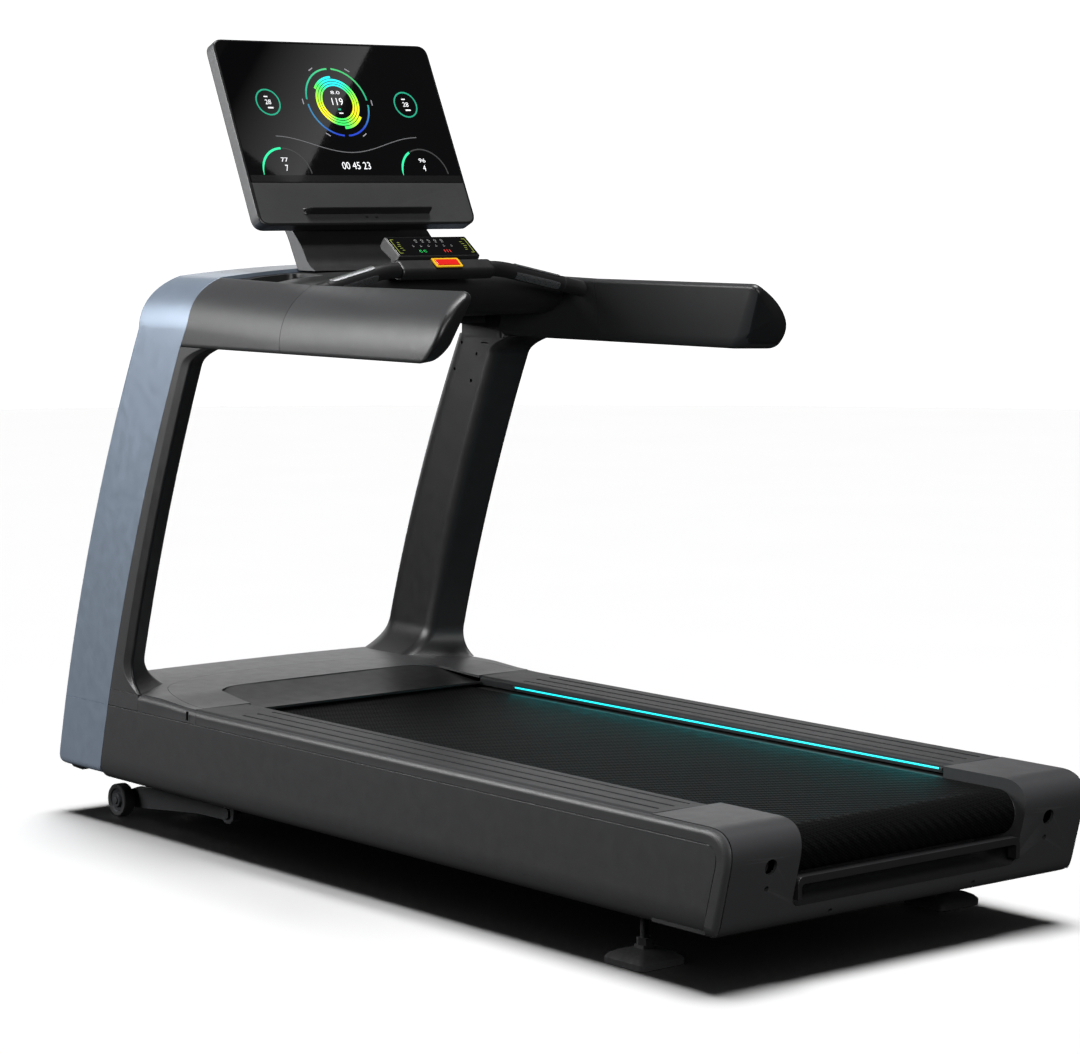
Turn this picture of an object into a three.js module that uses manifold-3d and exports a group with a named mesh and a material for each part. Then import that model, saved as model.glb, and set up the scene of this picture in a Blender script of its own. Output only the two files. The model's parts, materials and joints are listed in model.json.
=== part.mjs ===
// Motorised gym treadmill with a full-height frame, in millimetres.
// +X points to the runner's right, +Y ahead towards the console, +Z up; the floor is z = 0.
import * as THREE from "three";
import { mergeVertices } from "three/addons/utils/BufferGeometryUtils.js";
import Module from "manifold-3d";

const wasm = await Module();
wasm.setup();

// Driving dimensions of the hull
const HALF_WIDTH = 455;
const HULL_REAR = -1076;
const HULL_BOTTOM = 97;
const SKIN = 8;
const GAP = 0.5;
const SEAM_HEIGHT = 265;
const RAIL_TOP = 294;
const RAIL_INNER = 310;
const RAIL_REAR = -868;
const RAIL_FRONT = 576;
const HOOD_TOP = 302;
const HOOD_SEAM = 850;

// Driving dimensions of the running surface
const BELT_HALF_WIDTH = 280;
const BELT_TOP = 273;
const BELT_THICKNESS = 3;
const ROLLER_RADIUS = 38.6;
const ROLLER_HEIGHT = BELT_TOP - BELT_THICKNESS - ROLLER_RADIUS - 0.4;
const REAR_ROLLER_Y = -1012;
const FRONT_ROLLER_Y = 640;
const DECK_TOP = BELT_TOP - BELT_THICKNESS - GAP;
const DECK_THICKNESS = 22;

// Driving dimensions of the chassis
const RAIL_TUBE_INNER = 330;
const RAIL_TUBE_OUTER = 370;
const RAIL_TUBE_LOW = 150;
const RAIL_TUBE_HIGH = 230;
const WHEEL_RADIUS = 36;
const WHEEL_X = 376;
const WHEEL_Y = 985;
const PIVOT_Y = 585;
const PIVOT_Z = 64;
const FOOT_X = 381;
const FOOT_Y = -775;

// Driving dimensions of the uprights, arms and console
const UPRIGHT_FOOT = 300;
const UPRIGHT_INNER = 384;
const ARM_BOTTOM = 1050;
const ARM_SHOULDER = 1114;
const ARM_TOP = 1184;
const ARM_REAR = -275;
const ARM_SEAM = 245;
const ARCH_REAR = 578;
const CONSOLE_REAR = 345;
const BAR_Y = 303;
const BAR_Z = 1209;
const BAR_RADIUS = 16.5;
const DISPLAY_TILT = THREE.MathUtils.degToRad(65.2);

const ROUND = 32;
// Where each long edge of an upright lies at height z: it starts at foot and leans back as it rises
const FRONT_EDGE = { foot: 1140, lean: 0.172, sweep: 0.00016 };
const FASCIA_EDGE = { foot: 970, lean: 0.2, sweep: 0.00014 };
const WINDOW_EDGE = { foot: 922, lean: 0.178, sweep: 0.00014 };
const edgeY = (edge, z) => edge.foot - edge.lean * z - edge.sweep * z * z;
const FASCIA_LOW = 110;
const Y_CENTRE = (HULL_REAR + edgeY(FRONT_EDGE, FASCIA_LOW)) / 2;

const FINISH = {
  charcoal: [0x3a3b3d, 0.5, 0.1],
  black: [0x17181a, 0.55, 0.05],
  fascia: [0x74839b, 0.38, 0.6],
  belt: [0x101112, 0.9, 0],
  glow: [0x10c8d8, 0.4, 0],
  steel: [0xb9bcc0, 0.3, 1],
  frame: [0x25272a, 0.6, 0.3],
  rubber: [0x1b1b1c, 0.9, 0],
  glass: [0x050607, 0.08, 0],
  red: [0xd0160e, 0.4, 0],
  yellow: [0xe9b80c, 0.45, 0],
  board: [0x2b2a28, 0.6, 0],
  metal: [0x8d9197, 0.35, 0.9],
};

const treadmill = new THREE.Group();
treadmill.name = "treadmill";
treadmill.position.y = -Y_CENTRE;

const addPart = (name, geometry, finish, parent = treadmill) => {
  const [color, roughness, metalness] = FINISH[finish];
  const material = new THREE.MeshStandardMaterial({ color, roughness, metalness });
  const mesh = new THREE.Mesh(geometry, material);
  mesh.name = name;
  parent.add(mesh);
  return mesh;
};

// Solids and booleans
const bare = (geometry) => {
  const copy = geometry.index ? geometry.toNonIndexed() : geometry.clone();
  copy.deleteAttribute("normal");
  copy.deleteAttribute("uv");
  return mergeVertices(copy, 1e-4);
};

const solid = (geometry) => {
  const merged = bare(geometry);
  const vertProperties = new Float32Array(merged.attributes.position.array);
  const triVerts = new Uint32Array(merged.index.array);
  return new wasm.Manifold(new wasm.Mesh({ numProp: 3, vertProperties, triVerts }));
};

const surface = (manifold) => {
  const mesh = manifold.getMesh();
  const geometry = new THREE.BufferGeometry();
  geometry.setAttribute("position", new THREE.BufferAttribute(new Float32Array(mesh.vertProperties), 3));
  geometry.setIndex(new THREE.BufferAttribute(new Uint32Array(mesh.triVerts), 1));
  return geometry;
};

const cut = (geometry, ...tools) =>
  surface(tools.reduce((body, tool) => body.subtract(solid(tool)), solid(geometry)));
const join = (...pieces) => surface(pieces.map(solid).reduce((body, piece) => body.add(piece)));
const common = (a, b) => surface(solid(a).intersect(solid(b)));

const mirrored = (geometry) => {
  const copy = bare(geometry);
  copy.scale(-1, 1, 1);
  const index = copy.index.array;
  for (let i = 0; i < index.length; i += 3) {
    [index[i], index[i + 1]] = [index[i + 1], index[i]];
  }
  return copy;
};

const bothSides = (name, rightGeometry, finish) => {
  addPart(`right_${name}`, rightGeometry, finish);
  addPart(`left_${name}`, mirrored(rightGeometry), finish);
};

// Basic shapes: box by its corners, prisms along each axis, rods and turned rings
const box = (x0, x1, y0, y1, z0, z1) => {
  const geometry = new THREE.BoxGeometry(x1 - x0, y1 - y0, z1 - z0);
  geometry.translate((x0 + x1) / 2, (y0 + y1) / 2, (z0 + z1) / 2);
  return geometry;
};

const outline = (points) => new THREE.Shape(points.map(([u, v]) => new THREE.Vector2(u, v)));
const prism = (shape, depth) =>
  new THREE.ExtrudeGeometry(shape, { depth, bevelEnabled: false, curveSegments: 8 });

const TO_X = new THREE.Matrix4().set(0, 0, 1, 0, 1, 0, 0, 0, 0, 1, 0, 0, 0, 0, 0, 1);
const TO_Y = new THREE.Matrix4().set(1, 0, 0, 0, 0, 0, -1, 0, 0, 1, 0, 0, 0, 0, 0, 1);

// points are (y, z); the prism runs from x0 to x1
const prismX = (shape, x0, x1) => prism(shape, x1 - x0).applyMatrix4(TO_X).translate(x0, 0, 0);
// points are (x, z); the prism runs from y0 to y1
const prismY = (shape, y0, y1) => prism(shape, y1 - y0).applyMatrix4(TO_Y).translate(0, y1, 0);
// points are (x, y); the prism runs from z0 to z1
const prismZ = (shape, z0, z1) => prism(shape, z1 - z0).translate(0, 0, z0);

const rod = (from, to, radius, segments = ROUND) => {
  const a = new THREE.Vector3(...from);
  const b = new THREE.Vector3(...to);
  const axis = b.clone().sub(a);
  const geometry = new THREE.CylinderGeometry(radius, radius, axis.length(), segments);
  const turn = new THREE.Quaternion().setFromUnitVectors(new THREE.Vector3(0, 1, 0), axis.normalize());
  geometry.applyQuaternion(turn);
  const middle = a.add(b).multiplyScalar(0.5);
  return geometry.translate(middle.x, middle.y, middle.z);
};

// A ring turned about a line parallel to X; profile points are (radius, x) and close on themselves
const ringX = (profile, y, z, segments = ROUND) => {
  const points = [...profile, profile[0]].map(([r, x]) => new THREE.Vector2(r, x));
  const geometry = outward(new THREE.LatheGeometry(points, segments));
  return geometry.rotateZ(-Math.PI / 2).translate(0, y, z);
};

const roundedRect = (width, height, radius) => {
  const shape = new THREE.Shape();
  const [w, h] = [width / 2, height / 2];
  shape.moveTo(-w + radius, -h);
  shape.lineTo(w - radius, -h);
  shape.absarc(w - radius, -h + radius, radius, -Math.PI / 2, 0, false);
  shape.lineTo(w, h - radius);
  shape.absarc(w - radius, h - radius, radius, 0, Math.PI / 2, false);
  shape.lineTo(-w + radius, h);
  shape.absarc(-w + radius, h - radius, radius, Math.PI / 2, Math.PI, false);
  shape.lineTo(-w, -h + radius);
  shape.absarc(-w + radius, -h + radius, radius, Math.PI, Math.PI * 1.5, false);
  return shape;
};

const signedVolume = (geometry) => {
  const p = geometry.attributes.position;
  const index = geometry.index.array;
  const [a, b, c] = [new THREE.Vector3(), new THREE.Vector3(), new THREE.Vector3()];
  let volume = 0;
  for (let i = 0; i < index.length; i += 3) {
    a.fromBufferAttribute(p, index[i]);
    b.fromBufferAttribute(p, index[i + 1]);
    c.fromBufferAttribute(p, index[i + 2]);
    volume += a.dot(b.cross(c)) / 6;
  }
  return volume;
};

const outward = (geometry) => {
  const merged = bare(geometry);
  if (signedVolume(merged) > 0) return merged;
  const index = merged.index.array;
  for (let i = 0; i < index.length; i += 3) {
    [index[i], index[i + 1]] = [index[i + 1], index[i]];
  }
  return merged;
};

// Triangles that close a ring, wound the way the ring runs
const lid = (ring, flat) => {
  const contour = ring.map((point) => new THREE.Vector2(...flat(point)));
  const turn = Math.sign(THREE.ShapeUtils.area(contour));
  return THREE.ShapeUtils.triangulateShape(contour, []).map(([a, b, c]) => {
    const same = Math.sign(THREE.ShapeUtils.area([contour[a], contour[b], contour[c]])) === turn;
    return same ? [a, b, c] : [a, c, b];
  });
};

// A body through rings of 3-D points with equal counts; flat gives an end ring's two coordinates
const loft = (rings, flat) => {
  const count = rings[0].length;
  const last = (rings.length - 1) * count;
  const index = [];
  for (let start = 0; start < last; start += count) {
    for (let i = 0; i < count; i += 1) {
      const [a, b] = [start + i, start + ((i + 1) % count)];
      index.push(a, b, b + count, a, b + count, a + count);
    }
  }
  for (const [a, b, c] of lid(rings[0], flat)) index.push(a, c, b);
  for (const face of lid(rings.at(-1), flat)) index.push(...face.map((i) => last + i));
  const geometry = new THREE.BufferGeometry();
  geometry.setAttribute("position", new THREE.Float32BufferAttribute(rings.flat(2), 3));
  geometry.setIndex(index);
  return outward(geometry);
};

// A closed outline moved inwards by a distance, each corner mitred
const inset = (points, distance) => {
  const area = THREE.ShapeUtils.area(points.map(([u, v]) => new THREE.Vector2(u, v)));
  const side = Math.sign(area) * distance;
  return points.map(([u, v], i) => {
    const [pu, pv] = points[(i + points.length - 1) % points.length];
    const [nu, nv] = points[(i + 1) % points.length];
    const before = new THREE.Vector2(u - pu, v - pv).normalize();
    const after = new THREE.Vector2(nu - u, nv - v).normalize();
    const normal = new THREE.Vector2(-before.y - after.y, before.x + after.x).normalize();
    const reach = side / Math.max(0.4, normal.x * -before.y + normal.y * before.x);
    return [u + normal.x * reach, v + normal.y * reach];
  });
};

// The part of a polygon where depth is positive
const clipped = (polygon, depth) =>
  polygon.flatMap((point, i) => {
    const next = polygon[(i + 1) % polygon.length];
    const [here, there] = [depth(point), depth(next)];
    const kept = here >= 0 ? [point] : [];
    if (here >= 0 === there >= 0) return kept;
    const t = here / (here - there);
    return [...kept, [point[0] + (next[0] - point[0]) * t, point[1] + (next[1] - point[1]) * t]];
  });

// A convex outline moved inwards by a distance; short edges may vanish
const shrunk = (points, distance) => {
  const turn = Math.sign(THREE.ShapeUtils.area(points.map(([u, v]) => new THREE.Vector2(u, v))));
  return points.reduce((kept, [u, v], i) => {
    const [nu, nv] = points[(i + 1) % points.length];
    const inward = new THREE.Vector2(v - nv, nu - u).normalize().multiplyScalar(turn);
    return clipped(kept, ([a, b]) => (a - u) * inward.x + (b - v) * inward.y - distance);
  }, points);
};

// Hull: side panels, trims, foot rails, light strips, rear cover, hood and front panel
const REAR_PROFILE = [
  [RAIL_REAR - GAP, RAIL_TOP],
  [-1012, RAIL_TOP],
  [-1038, 290],
  [-1060, 274],
  [-1073, 252],
  [HULL_REAR, 232],
  [-1070, 190],
  [-1050, 130],
  [-1034, 106],
  [-1012, HULL_BOTTOM],
  [RAIL_REAR - GAP, HULL_BOTTOM],
];

const sideSkin = () => {
  const section = outline([
    [HALF_WIDTH, SEAM_HEIGHT - GAP],
    [HALF_WIDTH, 122],
    [449, 108],
    [436, 99],
    [415, HULL_BOTTOM],
    [404, HULL_BOTTOM],
    [404, HULL_BOTTOM + 5],
    [415, HULL_BOTTOM + 5],
    [432, 105],
    [443, 113],
    [HALF_WIDTH - SKIN, 124],
    [HALF_WIDTH - SKIN, SEAM_HEIGHT - GAP],
  ]);
  const side = outline([
    [fasciaAt(SEAM_HEIGHT), SEAM_HEIGHT],
    [-1000, SEAM_HEIGHT],
    [-1018, 260],
    [-1034, 246],
    [-1038, 228],
    [-1030, 190],
    [-1012, 120],
    [-1000, 90],
    [fasciaAt(90), 90],
  ]);
  const skin = common(prismY(section, -1045, 960), prismX(side, 390, 470));
  return cut(skin, box(390, HALF_WIDTH - SKIN, HULL_REAR, RAIL_REAR, 80, 280));
};
const fasciaAt = (z) => edgeY(FASCIA_EDGE, z) - GAP;

const sideTrim = () => {
  const band = outline([
    [fasciaAt(RAIL_TOP), SEAM_HEIGHT + GAP],
    [fasciaAt(HOOD_TOP), HOOD_TOP],
    [792, HOOD_TOP],
    [782, RAIL_TOP],
    [-1012, RAIL_TOP],
    [-1038, 290],
    [-1060, 274],
    [-1073, 252],
    [HULL_REAR, 232],
    [-1070, 190],
    [-1050, 130],
    [-1034, 106],
    [-1013, 106],
    [-1012.5, 120],
    [-1030.7, 190],
    [-1038.8, 228],
    [-1034.8, 246.3],
    [-1018.3, 260.8],
    [-1000, SEAM_HEIGHT + GAP],
  ]);
  return prismX(band, HALF_WIDTH - SKIN + 0.3, HALF_WIDTH);
};

const GROOVES = [336.5, 373.2, 409.4];
const footRail = () => {
  const section = outline([
    [RAIL_INNER, BELT_TOP + 1],
    [RAIL_INNER, RAIL_TOP - 3],
    [313, RAIL_TOP - 1],
    [443, RAIL_TOP + 2],
    [446.5, RAIL_TOP],
    [446.5, 252],
    [442, 252],
    [442, RAIL_TOP - 5],
    [316, RAIL_TOP - 7],
    [316, BELT_TOP + 1],
  ]);
  const slots = GROOVES.map((x) => box(x - 3, x + 3, -843, 452, RAIL_TOP - 2.2, RAIL_TOP + 9));
  return cut(prismY(section, RAIL_REAR, RAIL_FRONT), ...slots);
};

const MOUTH = { half: 284, low: 136 };
const rearCover = () => {
  const outer = prismX(outline(REAR_PROFILE), -446.5, 446.5);
  const room = prismX(outline(shrunk(REAR_PROFILE, 5)), -441.5, 441.5);
  const mouth = prismY(roundedRect(2 * MOUTH.half, 420, 16), -1100, -800);
  const mouthWall = prismY(roundedRect(2 * MOUTH.half + 10, 430, 20), -1110, -800);
  mouth.translate(0, 0, MOUTH.low + 210);
  mouthWall.translate(0, 0, MOUTH.low + 210);
  const front = box(-441.5, 441.5, RAIL_REAR - 40, RAIL_REAR + 20, HULL_BOTTOM + 5, RAIL_TOP - 5);
  const inside = surface(solid(room).add(solid(front)).subtract(solid(mouthWall)));
  const rollerGaps = [-1, 1].map((side) => {
    const middle = side * (MOUTH.half + 2.5);
    return box(middle - 4, middle + 4, REAR_ROLLER_Y - 42, RAIL_REAR + 10, MOUTH.low, BELT_TOP + 3);
  });
  const drill = (x, z, radius) => rod([x, HULL_REAR - 10, z], [x, HULL_REAR + 60, z], radius, 16);
  const holes = [-1, 1].flatMap((side) => [
    drill(side * 352, 220, 14),
    drill(side * 353, 180, 3.5),
    drill(side * 182, 114, 3.5),
  ]);
  return cut(outer, inside, mouth, ...rollerGaps, ...holes);
};

// The lid over the motor, with the sunken ramp that leads down to the belt
const LID_PROFILE = [
  [RAIL_FRONT + GAP, 283],
  [RAIL_FRONT + GAP, RAIL_TOP + 1],
  [720, HOOD_TOP],
  [HOOD_SEAM, HOOD_TOP],
  [HOOD_SEAM, HOOD_TOP - 5],
  [722, HOOD_TOP - 5],
  [590, RAIL_TOP - 4],
  [590, 283],
];
const lidPlan = (grow) => {
  const shape = new THREE.Shape();
  const [half, rear, front, corner] = [418 + grow, RAIL_FRONT - 10, HOOD_SEAM + grow, 70];
  shape.moveTo(-half, rear);
  shape.lineTo(half, rear);
  shape.lineTo(half - 18, front - corner);
  shape.quadraticCurveTo(half - 22, front, half - 22 - corner, front);
  shape.lineTo(-half + 22 + corner, front);
  shape.quadraticCurveTo(-half + 22, front, -half + 18, front - corner);
  return shape;
};
const RAMP = { top: 745, halfTop: 250, halfTip: 293, tip: 711, bottom: RAIL_FRONT, low: 282 };
const rampCut = () => {
  const plan = outline([
    [-RAIL_INNER, RAMP.bottom - 20],
    [RAIL_INNER, RAMP.bottom - 20],
    [RAMP.halfTip, RAMP.tip],
    [RAMP.halfTop, RAMP.top],
    [-RAMP.halfTop, RAMP.top],
    [-RAMP.halfTip, RAMP.tip],
  ]);
  const above = outline([
    [RAMP.bottom - 30, RAMP.low],
    [RAMP.top + 10, HOOD_TOP - 2],
    [RAMP.top + 10, HOOD_TOP + 30],
    [RAMP.bottom - 30, HOOD_TOP + 30],
  ]);
  return common(prismZ(plan, 200, 400), prismX(above, -400, 400));
};
const motorHood = () => {
  const sheet = common(prismX(outline(LID_PROFILE), -420, 420), prismZ(lidPlan(0), 200, 400));
  const pan = outline([
    [RAMP.bottom + GAP, RAMP.low - 5],
    [RAMP.bottom + GAP, RAMP.low + 3],
    [RAMP.top - 6, HOOD_TOP - 2],
    [RAMP.top + 12, HOOD_TOP - 4],
    [RAMP.top + 12, HOOD_TOP - 7],
    [RAMP.top - 6, HOOD_TOP - 7],
  ]);
  const floor = prismX(pan, -RAIL_INNER + 3, RAIL_INNER - 3);
  return surface(solid(sheet).subtract(solid(rampCut())).add(solid(floor)));
};

// The fixed deck around the lid, which carries the feet of both uprights
const hoodSurround = () => {
  const profile = outline([
    [RAIL_FRONT + GAP, 288],
    [RAIL_FRONT + GAP, RAIL_TOP + 1],
    [720, HOOD_TOP],
    [1040, HOOD_TOP],
    [1068, HOOD_TOP - 3],
    [1084, 292],
    [1084, 262],
    [1078, 262],
    [1078, 289],
    [1064, 298],
    [1038, HOOD_TOP - 5],
    [722, HOOD_TOP - 5],
    [590, 289],
  ]);
  const sheet = prismX(profile, -HALF_WIDTH + SKIN + GAP, HALF_WIDTH - SKIN - GAP);
  const corners = [-1, 1].map((side) => box(side * 445 - 15, side * 445 + 15, 1046, 1100, 200, 400));
  const mastHoles = [-1, 1].map((side) => box(side * 416 - 23, side * 416 + 23, 868, 962, 200, 400));
  return cut(sheet, prismZ(lidPlan(0.6), 200, 400), ...corners, ...mastHoles);
};

const frontPanel = () => {
  const profile = outline([
    [1112, 112],
    [1094, 258],
    [1089, 258],
    [1106, 108],
    [1060, 104],
    [1060, 99],
    [1104, 101],
  ]);
  const inlet = box(229, 261, 1080, 1130, 134, 162);
  const switchHole = box(179, 211, 1080, 1130, 134, 162);
  return cut(prismX(profile, -428, 428), inlet, switchHole);
};

// Uprights: a dark shell with a thin coloured fascia over its front, both hollow
const FILLET_FOOT = 70;
const FILLET_TOP = 40;
const windowAt = (z) => {
  const low = Math.max(0, 1 - (z - UPRIGHT_FOOT) / FILLET_FOOT);
  const high = Math.max(0, 1 - (ARM_BOTTOM - z) / FILLET_TOP);
  return edgeY(WINDOW_EDGE, z) - 110 * low ** 2.4 - 60 * Math.min(1, high) ** 2.2;
};
const flareAt = (z) => Math.max(0, 1 - (z - UPRIGHT_FOOT) / FILLET_FOOT) ** 2.2;

const shellRing = (z, thinner = 0) => {
  const [rear, front, split] = [windowAt(z), edgeY(FRONT_EDGE, z), edgeY(FASCIA_EDGE, z)];
  const inner = UPRIGHT_INNER - 66 * flareAt(z);
  const skin = HALF_WIDTH - SKIN - GAP;
  const points = [
    [HALF_WIDTH, rear],
    [HALF_WIDTH, split - GAP],
    [skin, split - GAP],
    [skin, front - 24],
    [432, front - 12],
    [inner + 26, front - 62],
    [inner + 6, front - 100],
    [inner, rear + 42],
    [inner + 6, rear + 4],
    [inner + 24, rear - 26],
    [434, rear - 34],
  ];
  const kept = thinner > 0 ? inset(points, thinner) : points;
  return kept.map(([x, y]) => [x, y, z]);
};
const SHELL_LEVELS = [312, 322, 340, 370, 460, 560, 660, 760, 860, 940, 1005, 1022, 1036];
const inPlan = ([x, y]) => [x, y];
const inSide = ([, y, z]) => [y, z];
const uprightShell = () => {
  const outside = [HOOD_TOP + GAP, ...SHELL_LEVELS, ARM_BOTTOM - GAP].map((z) => shellRing(z));
  const inside = [HOOD_TOP - 10, ...SHELL_LEVELS, ARM_BOTTOM + 10].map((z) => shellRing(z, 5));
  return cut(loft(outside, inPlan), loft(inside, inPlan));
};

const FASCIA_TOP = 1070;
const fasciaRing = (z) => {
  const [front, split] = [edgeY(FRONT_EDGE, z), edgeY(FASCIA_EDGE, z)];
  const skin = HALF_WIDTH - SKIN;
  const points = [
    [HALF_WIDTH, split],
    [HALF_WIDTH, front - 12],
    [449, front - 2],
    [441, front],
    [436, front - 5],
    [skin, front - 17],
    [skin, split],
  ];
  return points.map(([x, y]) => [x, y, z]);
};
const fascia = () => {
  const levels = [];
  for (let z = FASCIA_LOW; z <= FASCIA_TOP; z += 80) levels.push(z);
  return loft(levels.map(fasciaRing), inPlan);
};

// Arms: a cover that carries on from the upright, then the padded handrail
const ARM_SECTION = [
  [HALF_WIDTH, 1060],
  [HALF_WIDTH, ARM_SHOULDER - 2],
  [449, 1124],
  [420, 1150],
  [388, 1175],
  [371, ARM_TOP],
  [364, ARM_TOP - 3],
  [381, 1060],
  [389, ARM_BOTTOM],
  [446, ARM_BOTTOM],
];
const armPrism = (distance, y0, y1) => prismY(outline(shrunk(ARM_SECTION, distance)), y0, y1);
const armCover = () => {
  const whole = join(armPrism(0, ARM_SEAM + GAP, ARCH_REAR - GAP), armPrism(9.5, ARCH_REAR - 5, 695));
  const mastHole = box(391, 441, 590, 700, 1000, 1080);
  const beamHole = box(355, 399, BEAM.rear - 3, BEAM.front + 3, BEAM.low - 3, BEAM.high + 3);
  return cut(whole, armPrism(14, ARM_SEAM - 10, 690), mastHole, beamHole);
};

const handrail = () => {
  const side = outline([
    [ARM_SEAM, 1040],
    [ARM_SEAM, 1200],
    [-241, 1200],
    [-250, ARM_TOP - 10],
    [-272, 1140],
    [ARM_REAR, 1127],
    [-264, 1096],
    [-248, 1072],
    [-226, ARM_BOTTOM],
    [-210, 1040],
  ]);
  const bar = common(armPrism(0, -300, ARM_SEAM), prismX(side, 350, 470));
  return cut(bar, box(399.5, 432.5, -200, ARM_SEAM + 10, 1067.5, 1118.5));
};

const BEAM = { rear: 640, front: 688, low: 1078, high: 1116 };
const armTube = () => {
  const skin = box(400, 432, -199, BEAM.front, 1068, 1118);
  return cut(skin, box(403, 429, -210, BEAM.front + 10, 1071, 1115));
};

// Steel mast inside each upright, with a foot that reaches the chassis tube
const mastRing = (z, grow) => {
  const rear = edgeY(WINDOW_EDGE, z) + 32 - grow;
  const front = rear + 62 + 2 * grow;
  return [
    [396 - grow, rear, z],
    [436 + grow, rear, z],
    [436 + grow, front, z],
    [396 - grow, front, z],
  ];
};
const MAST_LEVELS = [150, 300, 450, 600, 750, 900, 1072];
const mast = () => {
  const tube = loft(MAST_LEVELS.map((z) => mastRing(z, 0)), inPlan);
  const foot = box(RAIL_TUBE_OUTER + GAP, 420, 906, 960, 155, 225);
  const inside = loft([140, ...MAST_LEVELS.slice(1, -1), 1060].map((z) => mastRing(z, -3)), inPlan);
  return cut(join(tube, foot), inside);
};
const uprightFrame = () => {
  const side = join(mast(), armTube());
  const beam = box(-400.5, 400.5, BEAM.rear, BEAM.front, BEAM.low, BEAM.high);
  const room = box(-397, 397, BEAM.rear + 3, BEAM.front - 3, BEAM.low + 3, BEAM.high - 3);
  const cableHole = box(-25, 25, BEAM.rear - 5, BEAM.rear + 5, BEAM.low + 8, BEAM.high - 8);
  return join(side, mirrored(side), cut(beam, room, cableHole));
};

// The arch over the top: a shell whose ends wrap down over the shoulders
const ARCH = [
  [HALF_WIDTH, 1116, 748],
  [447, 1128, 750],
  [446.4, 1129, 750],
  [436.2, 1137, 751],
  [435.2, 1138, 751],
  [405, 1162, 753],
  [384.5, 1176, 754],
  [383.5, 1177, 754],
  [368, 1186, 755],
  [300, 1198, 757],
  [200, 1209, 760],
  [100, 1213, 762],
  [0, 1214, 762],
];
const archRing = (x, top, front) => {
  const outer = Math.abs(x) >= 447;
  const column = Math.abs(x) > 384 && Math.abs(x) < 436;
  const [footZ, footY] = column ? [ARM_BOTTOM + 1.5, 783] : [FASCIA_TOP + 5, 774];
  if (outer) {
    const low = FASCIA_TOP + 1;
    const lowY = edgeY(FRONT_EDGE, low);
    const under = [lowY, lowY - 12, 700, 660, 620, ARCH_REAR].map((y) => [y, low]);
    return [[ARCH_REAR, top], [front - 45, top], [front - 14, top - 12], [front, top - 30], ...under];
  }
  return [
    [ARCH_REAR, top],
    [front - 45, top],
    [front - 14, top - 12],
    [front, top - 36],
    [footY, footZ],
    [footY - 8, footZ],
    [front - 8, top - 40],
    [front - 21, top - 20],
    [front - 48, top - 9],
    [ARCH_REAR, top - 9],
  ];
};
const topArch = () => {
  const half = ARCH.map(([x, top, front]) => [-x, top, front]);
  const whole = [...half, ...ARCH.slice(0, -1).reverse()];
  return loft(whole.map(([x, top, front]) => archRing(x, top, front).map(([y, z]) => [x, y, z])), inSide);
};

// Console housing between the arms, with two sunken trays
const HOUSING = [
  [361, 1178],
  [300, 1193],
  [178, 1201.5],
  [0, 1203],
];
const housingSection = (top) => [
  [ARCH_REAR - GAP, top],
  [366, top - 2],
  [352, top - 9],
  [CONSOLE_REAR, top - 24],
  [354, 1130],
  [400, 1106],
  [560, 1098],
  [598, 1106],
  [602, 1130],
  [ARCH_REAR - GAP, 1160],
];
const housingLoft = (distance, shrink) => {
  const half = HOUSING.map(([x, top]) => [x - shrink, top]);
  const whole = [...half.map(([x, top]) => [-x, top]), ...half.slice(0, -1).reverse()];
  const placed = whole.filter(([x], i) => i === 0 || Math.abs(x - whole[i - 1][0]) > 1);
  const ring = ([x, top]) => inset(housingSection(top), distance).map(([y, z]) => [x, y, z]);
  return loft(placed.map(ring), inSide);
};
const TRAY = { inner: 205, outer: 330, rear: 430, front: 548, floor: 1164 };
const consoleHousing = () => {
  const sides = [-1, 1];
  const pocket = (side, wall, top) => {
    const [a, b] = [side * (TRAY.inner - wall), side * (TRAY.outer + wall)];
    const depth = TRAY.floor - wall;
    return box(Math.min(a, b), Math.max(a, b), TRAY.rear - wall, TRAY.front + wall, depth, top);
  };
  const wells = sides.map((side) => pocket(side, 0, 1230));
  const walls = sides.map((side) => pocket(side, 4, 1240));
  const room = cut(housingLoft(5, 5), ...walls);
  const serviceHole = box(-60, 60, 580, 620, 1112, 1126);
  return cut(housingLoft(0, 0), room, ...wells, serviceHole);
};

// Post that carries the display over the console
const POST_HALF = 178;
const displayPost = () => {
  const side = outline([
    [526, 1204.5],
    [573, 1204.5],
    [576, 1217],
    [622, 1262],
    [690, 1378],
    [682, 1398],
    [653, 1404],
    [600, 1290],
    [585, 1283],
    [572, 1282],
  ]);
  const wide = prismX(side, -POST_HALF, POST_HALF);
  const waist = [-1, 1].map((end) => box(end * 165 - 45, end * 165 + 45, 500, 720, 1296, 1420));
  return cut(wide, ...waist);
};

// Display: built flat, x across, y up the screen, z towards the runner, then tilted back
const DISPLAY = { bottomHalf: 284, topHalf: 277, height: 431, depth: 38, glassLow: 99 };
const display = new THREE.Group();
display.position.set(0, 554, 1300);
display.rotation.x = DISPLAY_TILT;
treadmill.add(display);

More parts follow.
